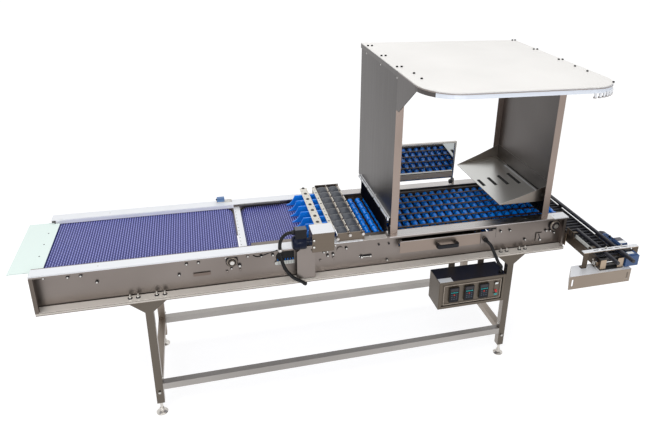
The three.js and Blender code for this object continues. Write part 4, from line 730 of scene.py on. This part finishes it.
# The motor's hose with its clip, and the thin cable beside it
hose("motor_hose", "motor_conduit", [
    (1243.6, -345, 1062), (1236, -345, 1062), (1212, -346, 1057), (1190, -348, 1037), (1178, -348, 1004),
    (1178, -347, 966), (1182, -347, 925), (1191, -347, 883), (1205, -347, 846), (1224, -347, 815),
    (1247, -346, 788), (1272, -345, 769), (1294, -343, 753), (1307, -337, 737), (1313, -325, 728),
    (1315, -306, 726), (1316, -284, 726), (1317, -263, 729), (1317, -250, 744),
])
clip = Shape().turned("z", (1178, -347, 0), [(11.5, 960), (12.5, 962), (12.5, 972), (11.5, 974)], 20)
clip.box(1170, 1186, -336, -318, 963.4, 968)
clip.make("hose_clip", "rail_steel", 35)
thin = [(1178, -338, 962), (1160, -331, 958), (1130, -329, 950), (1098, -326.5, 938), (1072, -315, 925),
        (1058, -296, 916), (1050, -280, 912), (1046, -273, 911)]
Shape().tube(thin, 3.2, 10, 4).make("thin_cable", "hose_black", 50)

# Roller conveyor: waisted bobbins on bars between two link chains
BOBBIN = [(12.0, 31.0), (15.4, 30.2), (17.2, 27.6), (17.4, 24.0), (16.0, 17.0), (14.0, 9.0), (13.2, 0.0)]
PLAIN_BOBBIN = [(16.0, 31.0), (17.4, 24.0), (14.0, 9.0), (13.2, 0.0)]


def bobbins(shape, x, z, sides):
    """One bar: a shaft, a bobbin in each lane and a dark collar between two lanes, painted as the shade in
    the gap between bobbins.
    """
    half = BOBBIN if sides >= 16 else PLAIN_BOBBIN
    profile = [(7, -31.0), *((r, -y) for r, y in half), *reversed(half[:-1]), (7, 31.0)]
    for lane in range(LANES):
        shape.turned("y", (x, (lane - (LANES - 1) / 2) * LANE_PITCH, z), profile, sides)
    for edge in range(1, LANES):
        y = (edge - LANES / 2) * LANE_PITCH
        shape.round("y", (y - 5, y + 5), (x, z), 10.5, min(sides, 16), 1)
    shape.round("y", (-238, 238), (x, z), 5, 8, 2)


def link_chain(shape, z):
    for side in (-1, 1):
        for i in range(BARS - 1):
            x = IDLER_X + (i + 0.5) * ROLLER_PITCH
            y = side * (233.5 if i % 2 else 236.5)
            outline = arc((x, z), 8, 90, 270, 6) + arc((x + ROLLER_PITCH, z), 8, -90, 90, 6)
            shape.prism("y", (y - 1.2, y + 1.2), outline, 2)


def roller_run(name, node, z, sides, rods):
    shape = Shape()
    for i in range(BARS):
        bobbins(shape, IDLER_X + (i + 0.5) * ROLLER_PITCH, z, sides)
    link_chain(shape, z)
    for i in range(1, rods + 1):
        shape.round("y", (-231, 231), (IDLER_X + i * ROLLER_PITCH, z - 9), 2.6, 8, 3)
    shape.make(name, "roller_blue mark_dark dark_bolt brown", 40, body=node.replace("roller_run", "rollers"),
               replaces=[node], slot="blue_plastic")


roller_run("rollers_top", "roller_run_top", ROLLER_Z, 28, BARS - 1)
roller_run("rollers_below", "roller_run_return", RETURN_Z, 12, 0)


def end_wheels(name, node, x, from_turn, to_turn, end):
    """A shaft with its two wheels and the three bars that go round with them."""
    shape = Shape()
    for side in (-1, 1):
        shape.round("y", (side * 241, side * 247), (x, SHAFT_Z), 57, 40, 2, 1)
    for px, pz in arc((x, SHAFT_Z), 50, from_turn, to_turn, 2):
        bobbins(shape, px, pz, 20)
        shape.round("y", (-247, 247), (px, pz), 5, 10, 2)
    shape.round("y", (-end, end), (x, SHAFT_Z), 15, 24, 2)
    shape.make(name, "roller_blue mark_dark zinc", 40, body=node.removesuffix("_shaft"), replaces=[node],
               slot="bright_steel")


end_wheels("rollers_at_drive", "roller_drive_shaft", DRIVE_X, 60, -60, 295)
end_wheels("rollers_at_idler", "roller_idler_shaft", IDLER_X, 120, 240, 271.7)


def bristle_rows(shape, first_x, rows, root_z, tip_z):
    """Rows of fine bristles across the bed, each leaning its own way."""
    draw = random.Random(SEED)
    count, half, fine = 420, 1.0, 0.4
    for row in range(rows):
        for i in range(count):
            y = -258 + 516 * (i + draw.random()) / count
            x = first_x + row * 2 + draw.uniform(-0.6, 0.6)
            tx, ty, tz = x + draw.uniform(-5, 5), y + draw.uniform(-5, 5), tip_z + draw.uniform(0, 8)
            points = [(x - half, y - half, root_z), (x + half, y - half, root_z), (x, y + half, root_z),
                      (tx - fine, ty - fine, tz), (tx + fine, ty - fine, tz), (tx, ty + fine, tz)]
            shape.add(points, [(0, 2, 1), (3, 4, 5), (0, 1, 4, 3), (1, 2, 5, 4), (2, 0, 3, 5)])


# Brush curtain: dense bristles in a folded clip, and a shorter one at the outlet
clip = Shape().boxes((1776, 1786, -290, 330, 1044, 1062), (1781, 1793.6, -290, 330, 1059, 1062))
for y in (-282, -150, -10, 130, 270, 322):
    clip.box(1774.6, 1776.2, y - 7, y + 7, 1046, 1062.6, 1)
clip.make("brush_clip", "rail_film dark_bolt", bevel=0.8)

bristles = Shape()
bristle_rows(bristles, 1774, 5, 1050, 953)
bristles.make("brush_bristles", "bristle_black", replaces=["brush_curtain"], slot="black_plastic")
outlet = Shape()
bristle_rows(outlet, 2779, 3, 1044, 956)
outlet.box(2777, 2788.6, -258, 258, 1042, 1060)
outlet.make("outlet_brush", "bristle_black")

# A dark plate under the rollers, painted shade seen between them, with brown strips, and the bands over the
# lane edges in the hood
shape = Shape()
for edge in range(LANES + 1):
    y = max(-226, min(226, (edge - LANES / 2) * LANE_PITCH))
    shape.box(1596, 2790, y - 6, y + 6, 907, 912.8)
    shape.box(1800, 2790, y - 8, y + 8, 957.4, 960, 2)
shape.box(1596, 2800, -262, 262, 905, 907, 1)
for x in (1796, 2784):
    shape.box(x, x + 10, -LIP_INNER - 1, LIP_INNER + 1, 957.4, 960.2, 2)
shape.make("lane_strips_and_painted_shade", "brown dark_gap band_brown")

# Hood: bolts in the top plate, screws in the panels, the rim's shade and the clamp at its corner
shape = Shape()
for x, y in [(1805, 303), (1829, 303), (1806, 31), (1830, 31), (1811, -231), (1835, -233), (1852, -375),
             (1853, -482), (2793, 393), (2812, 392), (2788, 111), (2811, 108), (2788, -170), (2811, -173),
             (2787, -335), (2788, -449), (2784, -677)]:
    shape.round("z", (HOOD_TOP, HOOD_TOP + 6), (x, y), 6.5, 6, 1, 0.8)
for x, side, middle in ((1794, -1, 1070), (2791, 1, 1130)):
    for y in (-292, 0, 292):
        for z in (1848, 1010 if y else middle):
            shape.dome("x", side, (x, y, z), 5, 2.2)
shape.make("hood_screws", "zinc bolt_black", 40)

joint = Shape()
face = (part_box("hood_panel_left")[0].y - ORIGIN.y) / MM
for z in (1700, 1780, 1820, 1846):
    joint.dome("y", -1, (1822, face, z), 5, 2)
joint.make("panel_bolts", "mark_dark")

edge = Shape()
left, right, front, corner = 1790, 2820, -755, 180
film = 0.3
outer = [(left - film, -320), *arc((left + corner, front + corner), corner + film, 180, 270, 16),
         *arc((right - corner, front + corner), corner + film, 270, 360, 16), (right + film, -320)]
for (ax, ay), (bx, by) in zip(outer, outer[1:]):
    edge.add([(ax, ay, 1880), (bx, by, 1880), (bx, by, 1884), (ax, ay, 1884)], [(0, 1, 2, 3)])
edge.make("hood_rim_shade", "rim_brown", 40)

clamp = Shape()
for x, y in arc((right - corner, front + corner), 176, -90, -36, 6):
    clamp.box(x - 5, x + 5, y - 3, y + 5, 1838, 1862)
    clamp.box(x - 8, x + 8, y - 1, y + 6, 1834, 1842, 1)
clamp.make("hood_clamp", "rail_film stainless", bevel=1.0)

# Painted shade in the finger slots of the tray, and along the fold of its wall a painted highlight and a
# painted dark line
shape = Shape()
free_x, fold_x, free_z, fold_z = 2486, 2758, 1048, 1085
rise = (fold_z - free_z) / (fold_x - free_x)
for i in range(4):
    x, length = free_x + 28 + 69 * i, 95 + 23 * i
    low, high = (free_z + rise * (x + side * 10 - free_x) for side in (-1, 1))
    outline = [(x - 10, low - 1.5), (x + 10, high - 1.5), (x + 10, high + 0.5), (x - 10, low + 0.5)]
    shape.prism("y", (116 - length, 116), outline)
shape.box(2760, 2766, -246, 244, fold_z, fold_z + 0.8, 1)
shape.box(2778, 2784, -246, 244, fold_z, fold_z + 0.8)
shape.make("tray_painted_shade_and_highlight", "dark_gap rail_film")

# The mirror's star knob at its right pivot, and the ledge and screws on its leaning frame
pivot_y, pivot_z, turn = 296, 984, radians(4)


def leaning(y, z):
    """A point of the upright mirror, tilted back with it."""
    dz = z - pivot_z
    return pivot_y + y * cos(turn) - dz * sin(turn), pivot_z + y * sin(turn) + dz * cos(turn)


knob = Shape()
x = 2392
first = degrees(0.3)
for lobe in arc((x, pivot_z), 9, first, first + 288, 4):
    knob.round("y", (268, 281), lobe, 6.5, 14, 0, 1)
knob.round("y", (266, 282), (x, pivot_z), 9, 20, 0, 1)
knob.round("y", (281, 290), (x, pivot_z), 4, 12)
knob.make("mirror_knob", "dark_bolt", 40)

rim = Shape()
for x in (1915, 2160, 2400):
    rim.dome("y", -1, (x, *leaning(-10.6, 1026)), 3.6, 1.6)
ledge = [leaning(y, z) for y, z in ((-10.4, 1018), (-6.6, 1018), (-6.6, 1050), (-10.4, 1050))]
rim.prism("x", (1908, 2404), ledge, 1)
rim.make("mirror_ledge", "zinc bracket_tan", 40, body="mirror")

# The drawer's moulded handle, its screws and a painted highlight along the drawer's upper edge
left, right, face = 2064, 2198, -325.3
bend = (0, 0.4, 0.8, 1.2, 1.5708)
outline = [(left, face), *((left + 14 - 14 * cos(a), face - 20 - 14 * sin(a)) for a in bend),
           *((right - 14 + 14 * sin(a), face - 20 - 14 * cos(a)) for a in bend), (right, face),
           (right - 18, face), (right - 19, face - 17), (right - 25, face - 23), (left + 25, face - 23),
           (left + 19, face - 17), (left + 18, face)]
Shape().prism("z", (862, 886), outline).make(
    "drawer_bow", "box_black", 35, 3, "drawer", ["drawer_handle"], "black_plastic", 3)
screws = Shape()
for x, way in ((left, -1), (right, 1)):
    screws.dome("x", way, (x, -334, 874), 2.6, 0.6)
screws.make("drawer_screws", "dark_bolt", 40, body="drawer")
Shape().box(1850, 2345, face, -321, 918, 920.4).make("drawer_edge_painted_highlight", "rail_steel", body="drawer")

# Control box with hangers and a dark plate of painted shade on its top, the door's trim, keypads with screens
# and keys, the switch's marks
left, right, front, back, low, high, sheet = 2110, 2548, -325, -168, 422, BOX_TOP, 3
inside = (low + sheet, high - sheet)
case = Shape().boxes(
    (left, right, front, back, low, low + sheet), (left, right, front, back, high - sheet, high),
    (left, right, back - sheet, back, *inside))
for x in (left, right - sheet):
    case.box(x, x + sheet, front, back - sheet, *inside)
for x in ((left + sheet, 2130), (2528, right - sheet)):
    case.box(*x, front, front + sheet, *inside)
for z in ((low + sheet, 439.6), (592.4, high - sheet)):
    case.box(2130, 2528, front, front + sheet, *z)
for x in (2227, 2424):
    case.box(x, x + 43, back - sheet, back, high, 741, 1)
    case.box(x, x + 43, -300, back, 738, 741, 1)
case.make("control_case", "box_front leg_steel_back", bevel=1.2, replaces=["control_box"], slot="stainless")
Shape().box(2112, 2546, -323, -172, high - 0.2, high + 0.6).make("control_top_painted_shade", "lid_dark")
Shape().box(2112, 2196, -325.6, -282, high + 0.2, high + 1).make("bare_label", "label_white")

trim = Shape()
for x in (2141, 2514):
    trim.box(x, x + 3, front - 0.8, front, 449, 583)
for z in (449, 580):
    trim.box(2141, 2517, front - 0.8, front, z, z + 3)
trim.make("door_trim", "bracket_tan", body="control_door")

pads = Shape()
face = -331
for x in (2208, 2306, 2404):
    pads.box(x - 30.5, x + 30.5, face - 0.8, front, 466.5, 565.5)
    pads.box(x - 24, x + 24, face - 1.4, face - 0.7, 541, 560, 1)
    for column in range(5):
        pads.box(x - 22 + column * 9.4, x - 15 + column * 9.4, face - 2, face - 1.2, 530, 535.5, 2)
    for row in range(3):
        for column in range(3):
            kind = 4 if (row, column) == (0, 1) else 3
            px, pz = x - 15 + column * 15, 516 - row * 14
            pads.box(px - 4.6, px + 4.6, face - 2, face - 0.7, pz - 4, pz + 4, kind)
pads.make("keypads", "glass_black lid_dark key_teal key_grey key_red", bevel=0.8, body="control_door")

Shape().boxes((2476, 2496, -329, -328, 550, 562), (2476, 2496, -329, -328, 474, 483, 1)).make(
    "switch_marks", "label_white key_teal", body="control_door")

# The control box's hose with its two glands
hose("control_hose", "control_conduit", [
    (2374, -337.4, 872), (2374, -344, 872), (2380, -358, 868), (2394, -366, 852), (2408, -366, 826),
    (2424, -364, 795), (2440, -360, 765), (2455, -354, 738), (2471, -343, 712), (2489, -328, 690),
    (2508, -312, 668), (2520, -300, 650), (2522, -296, 632), (2522, -296, 622.6),
])
glands = Shape()
glands.turned("y", (2374, 0, 872), [(15, -327), (15, -330), (13.4, -331), (13.4, -338), (10.5, -340)], 20)
glands.turned("z", (2522, -296, 0), [(15, 610.8), (15, 613), (13.4, 614), (13.4, 621), (10.5, 624)], 20)
glands.make("hose_glands", "hose_black", 40)

# Cross conveyor: rods between two chains
shape = Shape()
count = 24
for i in range(count):
    y = CROSS_SHAFT_Y[0] + (i + 0.5) * ROD_PITCH
    shape.round("x", (2944, 3086), (y, ROD_Z), 6.6, 18)
    for x in (2944.6, 3085.4):
        far = y + ROD_PITCH if i < count - 1 else y
        outline = arc((y, ROD_Z), 6.5, 90, 270, 5)[::-1] + arc((far, ROD_Z), 6.5, 90, -90, 5)
        shape.prism("x", (x - 2.6, x + 2.6), outline, 1)
shape.make("rod_belt", "pad_black dark_bolt", 40, body="rods", replaces=["rod_run"], slot="rubber")

# Two padded tubes along the rod belt, a toothed guide, the pans below and a slotted bracket
low, high = 848.3, 868
for name, x, back in [("outer", 3091.5, 325), ("inner", 2990, -330)]:
    shape = Shape()
    profile = [(6, -742), (10.5, -741), (11.6, -737), (11.6, back - 4), (10.5, back - 1), (6, back)]
    shape.turned("y", (x, 0, high), profile, 28)
    shape.round("y", (-742.4, -741), (x, high), 3.4, 14, 1)
    if name == "outer":
        for y in (-554, 0, 254):
            shape.box(x - 1.5, x + 1.5, y, y + 38, low, 864, 1)
    else:
        for y in (-554, -368):
            shape.box(2938, x - 6, y, y + 19, 865, high, 1)
            shape.box(2938, 2941, y, y + 19, low, high, 1)
    shape.make(f"guard_pad_{name}", "pad_black plate_dark", 40, replaces=[f"guard_tube_{name}"],
               slot="rubber")

strip = Shape().prism("x", (2942.4, 2946.4), [(-392, 849), (-392, high), (-566, high), (-566, 849)])
for i in range(17):
    y = -399 - i * 10
    strip.box(2942.4, 2946.4, y - 2.5, y + 2.5, high, high + 4)
strip.make("toothed_guide", "tooth_white", bevel=0.6)
Shape().boxes((2938, 3092, -588, 186, 828, 830), (2938, 3092, -666, -600, 785.4, 788)).make(
    "rod_pan", "dark_gap")
bracket = Shape().boxes((2921, 2925, -404, -328, 849, 890), (2921, 2940, -404, -328, 848.2, 852))
# The bracket's slots are dark bars of painted shade
for y in (-392, -362):
    bracket.box(2920.6, 2925.4, y, y + 8, 858, 882, 1)
bracket.make("slotted_bracket", "plate_dark mark_dark", bevel=0.8)

# A slotted bar on two plate legs over the front of the rod belt; its slots are dark boxes of painted shade
shape = Shape()
left, right, front, top, foot = 2846, 3214, CROSS_SHAFT_Y[0], BRIDGE_TOP, 784.2
shape.box(left, right, front, front + 26, top - 4, top)
shape.box(left, right, front, front + 4, top - 8, top - 4, 1)
for x in ((left, left + 33), (right - 42, right)):
    shape.box(*x, front, front + 4, foot, top - 8, 2)
    shape.box(*x, front, front + 26, foot, foot + 3.8, 2)
for x in (2933, 2984, 3029, 3073, 3127):
    shape.box(x - 17, x + 17, front + 9, front + 16, top - 4.2, top + 0.2, 3)
shape.make("slotted_bridge", "rail_film nose_tan plate_dark dark_gap", bevel=0.5, replaces=["bridge_bar"],
           slot="bright_steel")

# Bolts of the cross conveyor
shape = Shape()
for y in CROSS_SHAFT_Y:
    for place in arc((y, CROSS_SHAFT_Z), 20, 45, 315, 3):
        shape.bolt("x", -1, (2926, *place), 3.6, 3, 0, 0.8)
        shape.bolt("x", 1, (3104, *place), 3.6, 3, 0, 0.8)
    shape.round("x", (2920.5, 2926), (y, CROSS_SHAFT_Z), 12, 24, 0, 1)
for z in (790, 812, 834):
    for side in (-1, 1):
        shape.bolt("x", 1, (2920.3, side * 312, z), 5.5, 4.5, 0, 1.4)
for x in (2861, 3123):
    shape.bolt("z", 1, (x, -609, 788.4), 5, 4, 0, 1.2)
for x in (3004, 3106):
    shape.bolt("z", 1, (x, -602, BRIDGE_TOP), 5.5, 5, 0, 1.4)
    shape.round("z", (BRIDGE_TOP - 4, BRIDGE_TOP + 12), (x, -602), 2.6, 10)
shape.make("outlet_bolts", "zinc", 40)

# A ribbed motor with a dark cap, its gear case and the fittings on both
shape = Shape()
x, z = 3150, 813
profile = [(0, -580), (40, -580), (42, -576), (42, -560), (39.5, -558), (39.5, -402), (43.5, -400),
           (43.5, -392), (0, -391)]
shape.turned("y", (x, 0, z), profile, 40)
shape.turned("y", (x, 0, z), [(0, -392), (42.5, -391), (42.5, -362), (36, -346), (0, -345)], 40, 1)
for i in range(20):
    angle = 2 * pi * i / 20
    out = Vector((cos(angle), sin(angle)))
    side = Vector((-out.y, out.x))
    corners = ((-2.6, -1.1), (2.6, -1.1), (2.6, 1.1), (-2.6, 1.1))
    rib = [tuple(Vector((x, z)) + out * (41 + a) + side * b) for a, b in corners]
    shape.prism("y", (-556, -404), rib)
shape.make("gear_motor_body", "gear_blue motor_navy", 35, slot="motor_paint")

Shape().boxes((3104.4, 3192, -668, -580, 788.8, 855), (3112, 3184, -662, -586, 855, 861),
              (3124, 3176, -570, -500, 840, 884), (3122, 3178, -572, -498, 872, 876)).make(
    "gear_case", "gear_blue", 35, 3, replaces=["gear_motor"], slot="motor_paint", segments=3)

small = Shape().boxes(
    (3124, 3166, -652, -630, 861, 862.2, 1), (3122, 3172, -626, -592, 861, 868),
    (3128, 3172, -568, -540, 876, 885, 1), (3128, 3172, -536, -502, 876, 886, 2))
small.round("x", (3176, 3192), (-535, 860), 9, 18, 0, 1)
small.round("y", (-500, -486), (x, 862), 8, 18, 0, 1)
for y in (-441, -474):
    small.round("z", (850, 866), (x, y), 7, 16, 0, 1)
small.make("gear_motor_fittings", "box_black label_white lid_grey", 35, 0.8)

# Levelling feet: a round base with a neck, a thread and a lock nut
profile = [(28, 0), (31, 2), (31, 5), (24, 9), (13, 13), (12, 24), (8, 27), (8, 58), (0, 58)]
for row, side in (("front", -1), ("back", 1)):
    for end, x in zip(("left", "right"), LEG_X):
        shape = Shape()
        y = side * LEG_Y
        shape.turned("z", (x, y, 0), profile, 32)
        shape.round("z", (27, 34), (x, y), 12.5, 6, 0, 0.8)
        shape.round("z", (58, 73.6), (x, y), 8, 20)
        shape.round("z", (64, 72.5), (x, y), 13, 6, 0, 0.8)
        shape.round("z", (73.6, 150), (x, y), 8, 12)
        name = f"foot_{row}_{end}"
        shape.make(f"levelling_{name}", "foot_steel", 35, body=name, replaces=[name], slot="bright_steel")

# Bolts of the legs
shape = Shape()
for x, way in zip(LEG_X, (1, -1)):
    for side in (-1, 1):
        shape.bolt("x", way, (x + way * 20, side * LEG_Y, 235), 6, 5, 0, 1.4)
        shape.bolt("y", side, (x, side * 325, 150), 5, 4, 0, 1.2)
        for along in (-70, 70):
            shape.bolt("z", -1, (x + along, side * 300, 736.6), 6, 5, 0, 1.4)
shape.make("leg_bolts", "zinc", 40)

# Sensor on the back rail
base = RAIL_TOP + 5
shape = Shape().boxes((890, 980, 300, 322, RAIL_TOP + 0.3, base), (892, 936, 300, 326, base, base + 25, 1),
                      (936, 978, 306, 322, base, base + 7))
shape.dome("z", 1, (958, 314, RAIL_TOP + 12), 5, 3)
shape.round("x", (886, 893), (313, RAIL_TOP + 18), 6, 16, 2)
shape.make("edge_sensor", "zinc sensor_blue dark_gap", 35, 1.2)


# Floor, light and world
def strength(tree, low, seen):
    """One strength as light on the object, another for camera, glossy and transmission rays."""
    path = new_node(tree, "LightPath")
    total = path.outputs["Is Camera Ray"]
    for other in ("Is Glossy Ray", "Is Transmission Ray"):
        add = new_node(tree, "Math")
        add.use_clamp = True
        tree.links.new(total, add.inputs[0])
        tree.links.new(path.outputs[other], add.inputs[1])
        total = add.outputs[0]
    return new_node(tree, "MapRange", Value=total, To_Min=low, To_Max=seen).outputs["Result"]


def area_lamp(name, place, target, size, power):
    data = bpy.data.lights.new(name, "AREA")
    data.size = size
    data.energy = power
    lamp = placed(name, data)
    lamp.location = place
    lamp.rotation_euler = (Vector(target) - Vector(place)).to_track_quat("-Z", "Y").to_euler()


# A pale floor that looks white from the camera and still takes the machine's shadow
made = plain("floor", (168, 168, 170), 1.0, shine=0)
fill(made.node_tree.nodes["Principled BSDF"], Emission_Color=(1, 1, 1, 1),
     Emission_Strength=strength(made.node_tree, 0.0, 0.78))
mesh = bpy.data.meshes.new("floor")
size = 90
mesh.from_pydata([(-size, -size, 0), (size, -size, 0), (size, size, 0), (-size, size, 0)], [], [range(4)])
mesh.materials.append(made)
floor = placed("floor", mesh)

sky = bpy.data.worlds.new("world")
bpy.context.scene.world = sky
sky.use_nodes = True
fill(sky.node_tree.nodes["Background"], Color=(1, 1, 1, 1), Strength=strength(sky.node_tree, 0.62, 1.0))
area_lamp("key", (-2.5, -3.5, 5.0), (0, 0, 0.9), 3.5, 110)
area_lamp("top", (0.5, 1.0, 5.5), (0, 0.2, 0.9), 4.0, 60)
area_lamp("front", (0.6, -4.6, 2.2), (0.4, 0, 0.9), 1.2, 50)
bpy.context.scene.view_settings.view_transform = "Standard"
